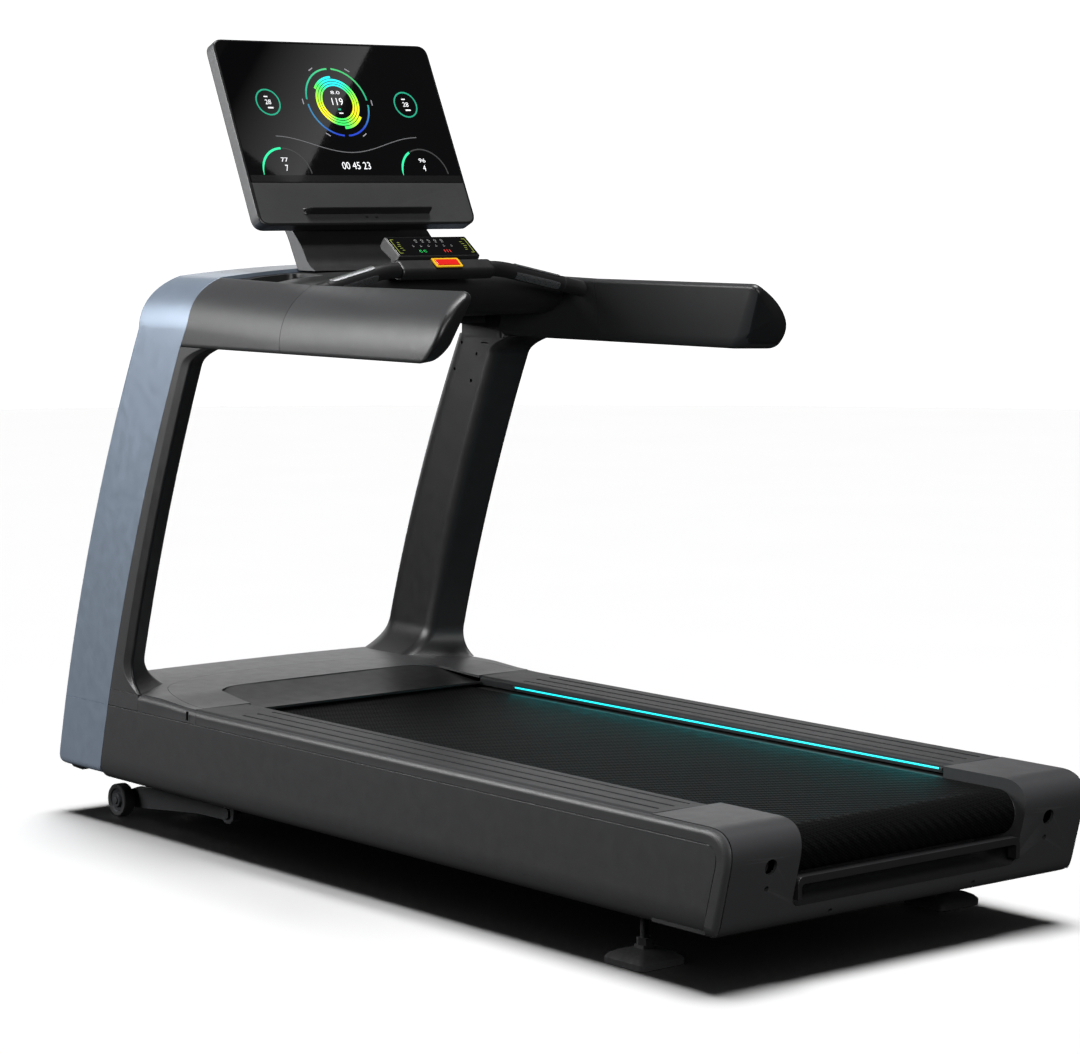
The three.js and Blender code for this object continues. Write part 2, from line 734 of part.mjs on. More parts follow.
const displayOutline = (edge, low = 0, high = DISPLAY.height, lowRadius = 16, highRadius = 16) => {
  const half = (y) => THREE.MathUtils.lerp(DISPLAY.bottomHalf, DISPLAY.topHalf, y / DISPLAY.height) - edge;
  const [bottom, top] = [low + edge, high - edge];
  const corners = [
    [half(bottom) - lowRadius, bottom + lowRadius, -90, lowRadius],
    [half(top) - highRadius, top - highRadius, 0, highRadius],
    [-half(top) + highRadius, top - highRadius, 90, highRadius],
    [-half(bottom) + lowRadius, bottom + lowRadius, 180, lowRadius],
  ];
  const points = [];
  for (const [x, y, start, radius] of corners) {
    for (const step of [0, 30, 60, 90]) {
      const angle = THREE.MathUtils.degToRad(start + step);
      points.push([x + radius * Math.cos(angle), y + radius * Math.sin(angle)]);
    }
  }
  return points;
};
const displayShell = () => {
  const ring = (edge, z) => displayOutline(edge).map(([x, y]) => [x, y, z]);
  const outer = loft([ring(0, 0), ring(0, -18), ring(14, -30), ring(34, -DISPLAY.depth)], inPlan);
  const room = prismZ(outline(displayOutline(4)), -20, -5.9);
  const step = prismZ(outline(displayOutline(3, DISPLAY.glassLow - 3.5, DISPLAY.height, 1)), -6, 10);
  const ledge = outline([
    [24, -2],
    [24, 9],
    [27, 12],
    [36, 10],
    [38, -2],
  ]);
  return join(cut(outer, room, step), prismX(ledge, -168, 168));
};
const displayGlass = () => {
  const low = DISPLAY.glassLow - 3.5;
  return prismZ(outline(displayOutline(3.5, low, DISPLAY.height, 1)), -5.5, -GAP);
};

// Handlebar: two bent grips, their contact plates, sockets and brackets, and a hub in the middle
const BAR_BEND = [150, BAR_Y, BAR_Z];
const BAR_END = [358, 285, 1163];
const barGrip = () => {
  const path = new THREE.CurvePath();
  const start = new THREE.Vector3(120, BAR_Y, BAR_Z);
  const bend = new THREE.Vector3(...BAR_BEND);
  const end = new THREE.Vector3(...BAR_END);
  const before = bend.clone().lerp(start, 0.75);
  const after = bend.clone().lerp(end, 0.12);
  path.add(new THREE.LineCurve3(start, before));
  path.add(new THREE.QuadraticBezierCurve3(before, bend, after));
  path.add(new THREE.LineCurve3(after, end));
  const circle = new THREE.Shape().absarc(0, 0, BAR_RADIUS, 0, Math.PI * 2, false);
  const settings = { steps: 16, extrudePath: path, curveSegments: 8 };
  return outward(new THREE.ExtrudeGeometry(circle, settings));
};
const alongBar = (t) => BAR_BEND.map((value, i) => value + (BAR_END[i] - value) * t);
const pulsePlate = () => {
  const start = new THREE.Vector3(...alongBar(0.16));
  const end = new THREE.Vector3(...alongBar(0.68));
  const shape = new THREE.Shape();
  const [inner, outer, half] = [BAR_RADIUS + 0.4, BAR_RADIUS + 1.6, 0.85];
  shape.absarc(0, 0, outer, -half, half, false);
  shape.absarc(0, 0, inner, half, -half, true);
  const plate = new THREE.ExtrudeGeometry(shape, {
    depth: start.distanceTo(end),
    bevelEnabled: false,
    curveSegments: 8,
  });
  const along = end.clone().sub(start).normalize();
  const facing = new THREE.Vector3(0, -0.62, 0.78);
  const across = facing.addScaledVector(along, -facing.dot(along)).normalize();
  const third = along.clone().cross(across);
  const frame = new THREE.Matrix4().makeBasis(across, third, along).setPosition(start);
  return plate.applyMatrix4(frame);
};
const barBracket = () => {
  const plate = outline([
    [282, 1166],
    [300, 1170],
    [344, 1152],
    [344, 1132],
    [318, 1128],
    [296, 1136],
  ]);
  return prismX(plate, 292, 304);
};

const HUB_HALF = 119.5;
const STOP_TILT = THREE.MathUtils.degToRad(38.5);
const stopAssembly = new THREE.Group();
stopAssembly.position.set(0, 291, 1222.6);
stopAssembly.rotation.x = STOP_TILT;
treadmill.add(stopAssembly);
const handlebarHub = () => {
  const side = outline([
    [283, 1198],
    [279, 1207],
    [280.3, 1213.3],
    [302, 1230.6],
    [309, 1229.6],
    [316, 1224],
    [322, 1214],
    [321, 1202],
    [314, 1192],
    [303, 1188],
    [290, 1191],
  ]);
  const pocket = box(-29, 29, -9.5, 9.5, -12, 5);
  pocket.rotateX(STOP_TILT).translate(0, 291, 1222.6);
  return cut(prismX(side, -HUB_HALF, HUB_HALF), pocket);
};
const stopBezel = () => cut(prismZ(roundedRect(72, 27, 4), 0, 2.5), box(-27, 27, -8.5, 8.5, -5, 5));
const stopButton = () => prismZ(roundedRect(52, 15.6, 3), -6, 6);

// Keypad: a sloped housing on a stalk
const KEYPAD_HALF = 106;
const KEY_TILT = Math.atan2(39, 52.5);
const KEYPAD_CENTRE = [0, 340.4, 1256.6];
const onKeypad = (geometry) => geometry.rotateX(KEY_TILT).translate(...KEYPAD_CENTRE);
const keypadHousing = () => {
  const side = outline([
    [-33, 0],
    [-34, -12],
    [-26, -20],
    [30, -26],
    [34, -22],
    [33, 0],
  ]);
  const stalk = outline([
    [362, 1203.6],
    [392, 1203.6],
    [392, 1225],
    [376, 1253],
    [362, 1244],
  ]);
  return join(onKeypad(prismX(side, -KEYPAD_HALF, KEYPAD_HALF)), prismX(stalk, -70, 70));
};

// Running surface: deck on rubber mounts, endless belt, two rollers on fixed axles
const runningDeck = () => box(-352, 352, -950, RAIL_FRONT - 6, DECK_TOP - DECK_THICKNESS, DECK_TOP);
const CUSHION_Y = [-860, -500, -140, 220, 540];
const deckCushion = () => {
  const [low, high] = [RAIL_TUBE_HIGH + GAP, DECK_TOP - DECK_THICKNESS - GAP];
  const strip = box(332, 350, -900, RAIL_FRONT - 20, low, low + 5);
  const pads = CUSHION_Y.map((y) => rod([341, y, low + 2], [341, y, high], 8, 16));
  return join(strip, ...pads);
};
const beltLoop = () => {
  const bend = (shape, radius) => {
    shape.absarc(REAR_ROLLER_Y, ROLLER_HEIGHT, radius, Math.PI / 2, Math.PI * 1.5, false);
    shape.absarc(FRONT_ROLLER_Y, ROLLER_HEIGHT, radius, -Math.PI / 2, Math.PI / 2, false);
    return shape;
  };
  const inner = ROLLER_RADIUS + 0.4;
  const outer = prismX(bend(new THREE.Shape(), inner + BELT_THICKNESS), -BELT_HALF_WIDTH, BELT_HALF_WIDTH);
  const hollow = prismX(bend(new THREE.Shape(), inner), -BELT_HALF_WIDTH - 10, BELT_HALF_WIDTH + 10);
  return cut(outer, hollow);
};
const AXLE_RADIUS = 10;
const rollerDrum = (y) => {
  const bore = AXLE_RADIUS + 0.5;
  const profile = [
    [bore, -288],
    [ROLLER_RADIUS, -288],
    [ROLLER_RADIUS, 288],
    [bore, 288],
  ];
  return ringX(profile, y, ROLLER_HEIGHT, 24);
};
const rollerAxle = (y) => rod([-329, y, ROLLER_HEIGHT], [329, y, ROLLER_HEIGHT], AXLE_RADIUS, 24);

// Drive: motor across the front, a pulley on its shaft and one on the front roller
const PULLEY_X = 305;
const PULLEY_HALF = 11;
const ROLLER_PULLEY = 46;
const MOTOR_PULLEY = 27;
const MOTOR_Y = 840;
const MOTOR_Z = 192;
const pulley = (radius, bore, y, z) => {
  const [near, far] = [-PULLEY_X - PULLEY_HALF, -PULLEY_X + PULLEY_HALF];
  const profile = [
    [bore, near],
    [radius + 2, near],
    [radius + 2, near + 1.5],
    [radius, near + 2.5],
    [radius, far - 2.5],
    [radius + 2, far - 1.5],
    [radius + 2, far],
    [bore, far],
  ];
  return ringX(profile, y, z, 28);
};
const driveBelt = () => {
  const drop = Math.atan2(ROLLER_HEIGHT - MOTOR_Z, MOTOR_Y - FRONT_ROLLER_Y);
  const span = Math.hypot(ROLLER_HEIGHT - MOTOR_Z, MOTOR_Y - FRONT_ROLLER_Y);
  const lean = Math.asin((ROLLER_PULLEY - MOTOR_PULLEY) / span);
  const loop = (extra) => {
    const shape = new THREE.Shape();
    const quarter = Math.PI / 2;
    const [big, small] = [ROLLER_PULLEY + extra, MOTOR_PULLEY + extra];
    shape.absarc(FRONT_ROLLER_Y, ROLLER_HEIGHT, big, quarter - drop - lean, -quarter - drop + lean, false);
    shape.absarc(MOTOR_Y, MOTOR_Z, small, -quarter - drop + lean, quarter - drop - lean, false);
    return shape;
  };
  const [near, far] = [-PULLEY_X - PULLEY_HALF + 3, -PULLEY_X + PULLEY_HALF - 3];
  return cut(prismX(loop(3), near, far), prismX(loop(0.6), near - 5, far + 5));
};
const driveMotor = () => {
  const shell = rod([-190, MOTOR_Y, MOTOR_Z], [110, MOTOR_Y, MOTOR_Z], 70, 28);
  const feet = box(-150, 70, MOTOR_Y - 60, MOTOR_Y + 60, 118, 150);
  const shaftHole = rod([-200, MOTOR_Y, MOTOR_Z], [-20, MOTOR_Y, MOTOR_Z], 9.6, 20);
  return cut(join(shell, feet), shaftHole);
};
const motorPulley = () => {
  const shaft = rod([-PULLEY_X - 14, MOTOR_Y, MOTOR_Z], [-30, MOTOR_Y, MOTOR_Z], 9, 20);
  return join(pulley(MOTOR_PULLEY, 5, MOTOR_Y, MOTOR_Z), shaft);
};
const controller = () => {
  const cabinet = box(-60, 180, 925, 1000, 122, 214);
  const fins = [0, 1, 2, 3, 4, 5, 6].map((i) => box(-50 + i * 32, -36 + i * 32, 915, 1010, 206, 220));
  return cut(cabinet, ...fins);
};

// Chassis: two long tubes, three cross tubes, brackets for the feet and the lift frame
const chassisRail = () => {
  const [x0, x1] = [RAIL_TUBE_INNER, RAIL_TUBE_OUTER];
  const tube = box(x0, x1, -990, 1055, RAIL_TUBE_LOW, RAIL_TUBE_HIGH);
  const room = box(x0 + 3, x1 - 3, -1000, 1065, RAIL_TUBE_LOW + 3, RAIL_TUBE_HIGH - 3);
  return join(cut(tube, room), footBracket(), liftBracket());
};
const CROSS_X = RAIL_TUBE_INNER - GAP;
const crossTube = (y, z) => {
  const tube = box(-CROSS_X, CROSS_X, y - 20, y + 20, z, z + 30);
  return cut(tube, box(-CROSS_X - 5, CROSS_X + 5, y - 17, y + 17, z + 3, z + 27));
};
const footBracket = () => {
  const plate = box(340, 422, FOOT_Y - 32, FOOT_Y + 32, RAIL_TUBE_LOW - 11, RAIL_TUBE_LOW + 1);
  return cut(plate, rod([FOOT_X, FOOT_Y, 100], [FOOT_X, FOOT_Y, 180], 8.6, 20));
};
const levellingFoot = () => {
  const square = (half, z) => {
    const points = roundedRect(half * 2, half * 2, half / 4).getPoints(3);
    return points.slice(0, -1).map(({ x, y }) => [x, y, z]);
  };
  const pad = loft([square(53, 0), square(55.5, 4), square(55, 12), square(30, 21), square(14, 24)], inPlan);
  const stem = rod([0, 0, 20], [0, 0, 196], 8, 20);
  return join(pad, stem).translate(FOOT_X, FOOT_Y, 0);
};

// Lift: a frame that swings down on two pins, its actuator, and the transport wheels
const liftBracket = () => {
  const side = outline([
    [PIVOT_Y - 40, RAIL_TUBE_LOW + 1],
    [PIVOT_Y - 22, PIVOT_Z - 12],
    [PIVOT_Y - 10, PIVOT_Z - 22],
    [PIVOT_Y + 10, PIVOT_Z - 22],
    [PIVOT_Y + 22, PIVOT_Z - 12],
    [PIVOT_Y + 40, RAIL_TUBE_LOW + 1],
  ]);
  const pin = rod([337, PIVOT_Y, PIVOT_Z], [368, PIVOT_Y, PIVOT_Z], 8, 20);
  const head = rod([363, PIVOT_Y, PIVOT_Z], [369, PIVOT_Y, PIVOT_Z], 13, 6);
  return join(prismX(side, 356, 364), pin, head);
};
const TIE_Y = PIVOT_Y + 130;
const TIE_Z = PIVOT_Z;
const liftFrame = () => {
  const arm = outline([
    [PIVOT_Y - 16, PIVOT_Z - 14],
    [PIVOT_Y - 20, PIVOT_Z],
    [PIVOT_Y - 12, PIVOT_Z + 16],
    [TIE_Y, TIE_Z + 20],
    [WHEEL_Y - 30, 66],
    [WHEEL_Y + 12, 52],
    [WHEEL_Y + 16, 36],
    [WHEEL_Y + 6, 22],
    [WHEEL_Y - 20, 18],
    [TIE_Y, TIE_Z - 22],
    [PIVOT_Y - 4, PIVOT_Z - 20],
  ]);
  const arms = [-1, 1].map((side) => prismX(arm, side * 346 - 6, side * 346 + 6));
  const tie = rod([-345, TIE_Y, TIE_Z], [345, TIE_Y, TIE_Z], 14, 20);
  const front = rod([-345, WHEEL_Y - 70, 44], [345, WHEEL_Y - 70, 44], 12, 20);
  const pins = [-1, 1].map((side) => rod([side * 345, WHEEL_Y, 36], [side * 393, WHEEL_Y, 36], 7.5, 20));
  const holes = rod([-400, PIVOT_Y, PIVOT_Z], [400, PIVOT_Y, PIVOT_Z], 8.5, 20);
  return cut(join(...arms, tie, front, ...pins), holes);
};
const wheel = () => {
  const profile = [
    [8, -12],
    [14, -12],
    [15, -8],
    [25, -8],
    [25, -13],
    [WHEEL_RADIUS - 2, -14],
    [WHEEL_RADIUS, -10],
    [WHEEL_RADIUS, 10],
    [WHEEL_RADIUS - 2, 14],
    [25, 13],
    [25, 8],
    [15, 8],
    [14, 12],
    [8, 12],
  ];
  return ringX(profile.map(([r, x]) => [r, x + WHEEL_X]), WHEEL_Y, WHEEL_RADIUS, 28);
};

// The screw pushes the tie tube along the chord of its swing
const LIFT_X = 215;
const LIFT_RANGE = THREE.MathUtils.degToRad(43);
const CHORD = [-Math.sin(LIFT_RANGE / 2), -Math.cos(LIFT_RANGE / 2)];
const onScrew = (t) => [LIFT_X, TIE_Y - CHORD[0] * t, TIE_Z - CHORD[1] * t];
const liftScrew = () => rod(onScrew(15), onScrew(196), 8, 20);
const liftMotor = () => {
  const tube = rod(onScrew(70), onScrew(205), 17, 20);
  const gearbox = rod(onScrew(150), onScrew(185), 32, 24);
  const motor = rod([LIFT_X + 10, 790, 208], [LIFT_X + 105, 790, 208], 30, 24);
  return cut(join(tube, gearbox, motor), rod(onScrew(60), onScrew(220), 8.8, 20));
};

// Mains inlet and rocker switch in the front panel
const powerInlet = () => {
  const body = box(230, 260, 1076, 1108, 135, 161);
  return cut(body, box(235, 255, 1092, 1120, 141, 155));
};
const powerSwitch = () => {
  const rocker = outline([
    [1082, 138],
    [1082, 158],
    [1100, 159],
    [1110, 156],
    [1106, 148],
    [1108, 139],
  ]);
  return prismX(rocker, 182, 208);
};

const build = () => {
  bothSides("side_panel", sideSkin(), "charcoal");
  bothSides("side_trim", sideTrim(), "charcoal");
  bothSides("foot_rail", footRail(), "charcoal");
  bothSides("light_strip", box(306, RAIL_INNER - 0.4, -842, 452, BELT_TOP + 5, BELT_TOP + 12), "glow");
  addPart("rear_cover", rearCover(), "charcoal");
  addPart("motor_hood", motorHood(), "charcoal");
  addPart("front_deck", hoodSurround(), "charcoal");
  addPart("front_panel", frontPanel(), "black");
  addPart("power_inlet", powerInlet(), "black");
  addPart("power_switch", powerSwitch(), "red");

  bothSides("upright", uprightShell(), "charcoal");
  bothSides("fascia", fascia(), "fascia");
  bothSides("arm_cover", armCover(), "charcoal");
  bothSides("handrail", handrail(), "black");
  addPart("upright_frame", uprightFrame(), "frame");
  addPart("top_arch", topArch(), "fascia");
  addPart("console_housing", consoleHousing(), "black");

  addPart("display_post", displayPost(), "black");
  addPart("display_shell", displayShell(), "black", display);
  addPart("display_glass", displayGlass(), "glass", display);

  bothSides("handlebar", join(barGrip(), barBracket()), "black");
  bothSides("pulse_plate", pulsePlate(), "steel");
  addPart("handlebar_hub", handlebarHub(), "black");
  addPart("stop_bezel", stopBezel(), "yellow", stopAssembly);
  addPart("stop_button", stopButton(), "red", stopAssembly);
  addPart("keypad_housing", keypadHousing(), "black");

  addPart("running_deck", runningDeck(), "board");
  bothSides("deck_cushion", deckCushion(), "rubber");
  addPart("running_belt", beltLoop(), "belt");
  addPart("front_roller", rollerDrum(FRONT_ROLLER_Y), "steel");
  addPart("rear_roller", rollerDrum(REAR_ROLLER_Y), "steel");
  addPart("front_axle", rollerAxle(FRONT_ROLLER_Y), "metal");
  addPart("rear_axle", rollerAxle(REAR_ROLLER_Y), "metal");
  addPart("roller_pulley", pulley(ROLLER_PULLEY, AXLE_RADIUS + 0.5, FRONT_ROLLER_Y, ROLLER_HEIGHT), "metal");
  addPart("motor_pulley", motorPulley(), "metal");
  addPart("drive_belt", driveBelt(), "rubber");
  addPart("drive_motor", driveMotor(), "metal");
  addPart("controller", controller(), "metal");

  bothSides("chassis_rail", chassisRail(), "frame");
  addPart("front_cross_tube", crossTube(1031, 152), "frame");
  addPart("rear_cross_tube", crossTube(-930, 152), "frame");
  bothSides("levelling_foot", levellingFoot(), "rubber");
  addPart("lift_frame", liftFrame(), "frame");
  addPart("lift_screw", liftScrew(), "steel");
  addPart("lift_motor", liftMotor(), "metal");
  bothSides("wheel", wheel(), "rubber");
};
build();

export default treadmill;
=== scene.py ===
"""A motorised gym treadmill: shells, belt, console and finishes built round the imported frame."""

import json
import math

import bmesh
import bpy
from mathutils import Matrix, Vector

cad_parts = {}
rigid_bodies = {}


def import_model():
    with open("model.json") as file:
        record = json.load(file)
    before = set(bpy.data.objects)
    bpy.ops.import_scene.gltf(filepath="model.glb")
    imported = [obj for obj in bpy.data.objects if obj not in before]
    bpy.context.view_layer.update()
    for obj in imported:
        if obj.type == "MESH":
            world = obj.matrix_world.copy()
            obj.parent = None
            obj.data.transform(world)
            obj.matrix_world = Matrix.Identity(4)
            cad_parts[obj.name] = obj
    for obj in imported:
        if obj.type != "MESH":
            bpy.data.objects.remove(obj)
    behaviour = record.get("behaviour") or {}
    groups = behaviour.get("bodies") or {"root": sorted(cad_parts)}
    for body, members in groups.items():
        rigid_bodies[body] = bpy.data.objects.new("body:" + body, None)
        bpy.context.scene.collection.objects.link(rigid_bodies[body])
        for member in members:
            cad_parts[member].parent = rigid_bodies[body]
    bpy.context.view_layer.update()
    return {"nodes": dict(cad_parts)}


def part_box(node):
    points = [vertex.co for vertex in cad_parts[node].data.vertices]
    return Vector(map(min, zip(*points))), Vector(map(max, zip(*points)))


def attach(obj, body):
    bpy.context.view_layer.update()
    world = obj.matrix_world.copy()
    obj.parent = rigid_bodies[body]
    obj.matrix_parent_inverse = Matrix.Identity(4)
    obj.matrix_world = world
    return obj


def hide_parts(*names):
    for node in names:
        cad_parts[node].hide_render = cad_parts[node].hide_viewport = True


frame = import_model()

# Lengths below are millimetres in the machine's own drawing: x to the runner's right, y ahead, z up.
# The drawing's y is counted from a point near the front roller, and the frame's from mid-length.
MM = 0.001
ARM_REAR = -275
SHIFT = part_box("left_handrail")[0].y / MM - ARM_REAR


def metres(point):
    x, y, z = point
    return Vector((x * MM, (y + SHIFT) * MM, z * MM))


def drawn(node):
    """A CAD node's lowest and highest corners in drawing millimetres."""
    return [Vector((p.x / MM, p.y / MM - SHIFT, p.z / MM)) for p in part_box(node)]


# Hull
HALF_WIDTH = drawn("right_side_panel")[1].x
HULL_BOTTOM = drawn("rear_cover")[0].z
SEAM_Z = 265
RAIL_TOP = drawn("rear_cover")[1].z
RAIL_INNER = 310
RAIL_REAR = -868
RAIL_FRONT = 576
HOOD_TOP = 302
SIDE_SEAM_Y = 786.5
SKIN = 8
HAIRLINE = 0.6

# Belt
BELT_HALF = drawn("running_belt")[1].x
BELT_TOP = drawn("running_belt")[1].z
BELT_LOW = drawn("running_belt")[0].z
REAR_ROLLER_Y = -1012
FRONT_ROLLER_Y = 640
LIGHT_FRONT = drawn("left_light_strip")[1].y
LIGHT_REAR = drawn("left_light_strip")[0].y

# Uprights and arms
UPRIGHT_FOOT = 300
UPRIGHT_INNER = 384
ARM_BOTTOM = 1050
ARM_SEAM = 245
ARCH_REAR = 578
FASCIA_LOW = 110
FASCIA_TOP = 1070
FRONT_EDGE = (1140, 0.172, 0.00016)
FASCIA_EDGE = (970, 0.2, 0.00014)
WINDOW_EDGE = (922, 0.178, 0.00014)


def edge_y(edge, z):
    foot, lean, sweep = edge
    return foot - lean * z - sweep * z * z


# ---- Meshes -------------------------------------------------------------------------------------

def rounded(points, reach, steps=6):
    """The outline with each corner eased over that reach; a list gives one reach for each corner."""
    reaches = reach if isinstance(reach, (list, tuple)) else [reach] * len(points)
    out = []
    for i, (corner, size) in enumerate(zip(points, reaches)):
        p = Vector(corner)
        if size <= 0:
            out.append(tuple(p))
            continue
        back = Vector(points[i - 1]) - p
        ahead = Vector(points[(i + 1) % len(points)]) - p
        start = p + back.normalized() * min(size, back.length * 0.49)
        end = p + ahead.normalized() * min(size, ahead.length * 0.49)
        for step in range(steps + 1):
            t = step / steps
            out.append(tuple(start * (1 - t) ** 2 + p * (2 * t * (1 - t)) + end * t * t))
    return out


def loft(rings, closed=False):
    """Faces through rings of points with equal counts, with both ends closed unless the loft is."""
    count = len(rings[0])
    points = [p for ring in rings for p in ring]
    faces = []
    turns = len(rings) if closed else len(rings) - 1
    for r in range(turns):
        here, there = r * count, ((r + 1) % len(rings)) * count
        for i in range(count):
            j = (i + 1) % count
            faces.append((here + i, here + j, there + j, there + i))
    if not closed:
        faces.append(tuple(range(count))[::-1])
        faces.append(tuple((len(rings) - 1) * count + i for i in range(count)))
    return points, faces


def prism_x(outline, x0, x1):
    return loft([[(x, y, z) for y, z in outline] for x in (x0, x1)])


def prism_y(outline, y0, y1):
    return loft([[(x, y, z) for x, z in outline] for y in (y0, y1)])


def prism_z(outline, z0, z1):
    return loft([[(x, y, z) for x, y in outline] for z in (z0, z1)])


def slab(x0, x1, y0, y1, z0, z1):
    return prism_z([(x0, y0), (x1, y0), (x1, y1), (x0, y1)], z0, z1)


def rectangle(half_u, half_v, reach, steps=6):
    return rounded([(-half_u, -half_v), (half_u, -half_v), (half_u, half_v), (-half_u, half_v)], reach, steps)


def rod(start, end, radius, sides=32):
    a, b = Vector(start), Vector(end)
    axis = (b - a).normalized()
    across = axis.orthogonal().normalized()
    up = axis.cross(across)
    turns = [math.tau * i / sides for i in range(sides)]
    around = [across * math.cos(t) * radius + up * math.sin(t) * radius for t in turns]
    return loft([[tuple(c + offset) for offset in around] for c in (a, b)])


def tube(path, radius, sides=32):
    """A round bar along points, with its ring kept square to the path."""
    points = [Vector(p) for p in path]
    rings = []
    across = None
    for i, p in enumerate(points):
        before, after = points[max(i - 1, 0)], points[min(i + 1, len(points) - 1)]
        axis = (after - before).normalized()
        if across is None:
            across = Vector((0, 0, 1)).cross(axis).normalized()
        across = (across - axis * across.dot(axis)).normalized()
        up = axis.cross(across)
        turns = [math.tau * k / sides for k in range(sides)]
        rings.append([tuple(p + (across * math.cos(t) + up * math.sin(t)) * radius) for t in turns])
    return loft(rings)


def turned_x(profile, y, z, sides=64):
    """A closed ring of (radius, x) points turned about a line along x."""
    turns = [math.tau * k / sides for k in range(sides)]
    return loft([[(x, y + r * math.cos(t), z + r * math.sin(t)) for r, x in profile] for t in turns], True)


def clean(mesh, tasks):
    """Run bmesh clean-up tasks on a mesh."""
    work = bmesh.new()
    work.from_mesh(mesh)
    tasks(work)
    work.to_mesh(mesh)
    work.free()
    return mesh


def face_out(work):
    bmesh.ops.recalc_face_normals(work, faces=work.faces)


def mesh_of(*shapes):
    """One mesh of the shapes, in the frame's metres, with every face pointing out."""
    mesh = bpy.data.meshes.new("shape")
    points, faces = [], []
    for shape_points, shape_faces in shapes:
        start = len(points)
        points += [metres(p) for p in shape_points]
        faces += [tuple(start + i for i in face) for face in shape_faces]
    mesh.from_pydata(points, [], faces)

    def weld(work):
        bmesh.ops.remove_doubles(work, verts=work.verts, dist=1e-6)
        face_out(work)

    return clean(mesh, weld)


def boolean(mesh, operation, shapes):
    scene = bpy.context.scene.collection.objects
    body = bpy.data.objects.new("boolean_body", mesh)
    scene.link(body)
    tools = []
    for shape in shapes:
        solid = shape if isinstance(shape, bpy.types.Mesh) else mesh_of(shape)
        tool = bpy.data.objects.new("boolean_tool", solid)
        scene.link(tool)
        tools.append(tool)
        step = body.modifiers.new("step", "BOOLEAN")
        step.operation = operation
        step.solver = "EXACT"
        step.object = tool
    result = bpy.data.meshes.new_from_object(body.evaluated_get(bpy.context.evaluated_depsgraph_get()))
    for thing in [body, *tools]:
        bpy.data.objects.remove(thing)

    def weld(work):
        bmesh.ops.remove_doubles(work, verts=work.verts, dist=2e-6)
        bmesh.ops.dissolve_degenerate(work, edges=work.edges, dist=2e-6)

    return clean(result, weld)


def cut(mesh, *shapes):
    return boolean(mesh, "DIFFERENCE", shapes)


def join(mesh, *shapes):
    return boolean(mesh, "UNION", shapes)


def meet(mesh, *shapes):
    return boolean(mesh, "INTERSECT", shapes)


def mirrored(mesh):
    copy = mesh.copy()
    copy.transform(Matrix.Scale(-1, 4, (1, 0, 0)))
    copy.flip_normals()
    return copy


def round_edges(obj, edge, segments, angle):
    bevel = obj.modifiers.new("rounded_edges", "BEVEL")
    bevel.width = edge * MM
    bevel.segments = segments
    bevel.limit_method = "ANGLE"
    bevel.angle_limit = math.radians(angle)
    bevel.harden_normals = True


def keep_flats(obj):
    obj.modifiers.new("flat_normals", "WEIGHTED_NORMAL").keep_sharp = True


def soften(obj, edge=0.0, segments=3, angle=30):
    """Smooth shading with true flats; edge rounds every corner sharper than angle."""
    mesh = obj.data
    mesh.polygons.foreach_set("use_smooth", [True] * len(mesh.polygons))
    if edge:
        round_edges(obj, edge, segments, angle)
    else:
        mesh.set_sharp_from_angle(angle=math.radians(angle))
    keep_flats(obj)


def piece(name, mesh, material, body="base", slot=None, replaces=(), edge=0.0, segments=3, angle=30):
    mesh.name = name
    mesh.materials.clear()
    mesh.materials.append(material)
    obj = bpy.data.objects.new(name, mesh)
    bpy.context.scene.collection.objects.link(obj)
    soften(obj, edge, segments, angle)
    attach(obj, body)
    if replaces:
        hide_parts(*replaces)
    return obj


def pair(name, mesh, material, replaces=(), bodies=("base", "base"), **settings):
    """The right-hand piece as drawn and its left-hand mirror."""
    made = []
    for side, body, shape in (("right", bodies[0], mesh), ("left", bodies[1], mirrored(mesh))):
        nodes = [f"{side}_{node}" for node in replaces]
        made.append(piece(f"{side}_{name}", shape, material, body, replaces=nodes, **settings))
    return made


# ---- Materials ----------------------------------------------------------------------------------

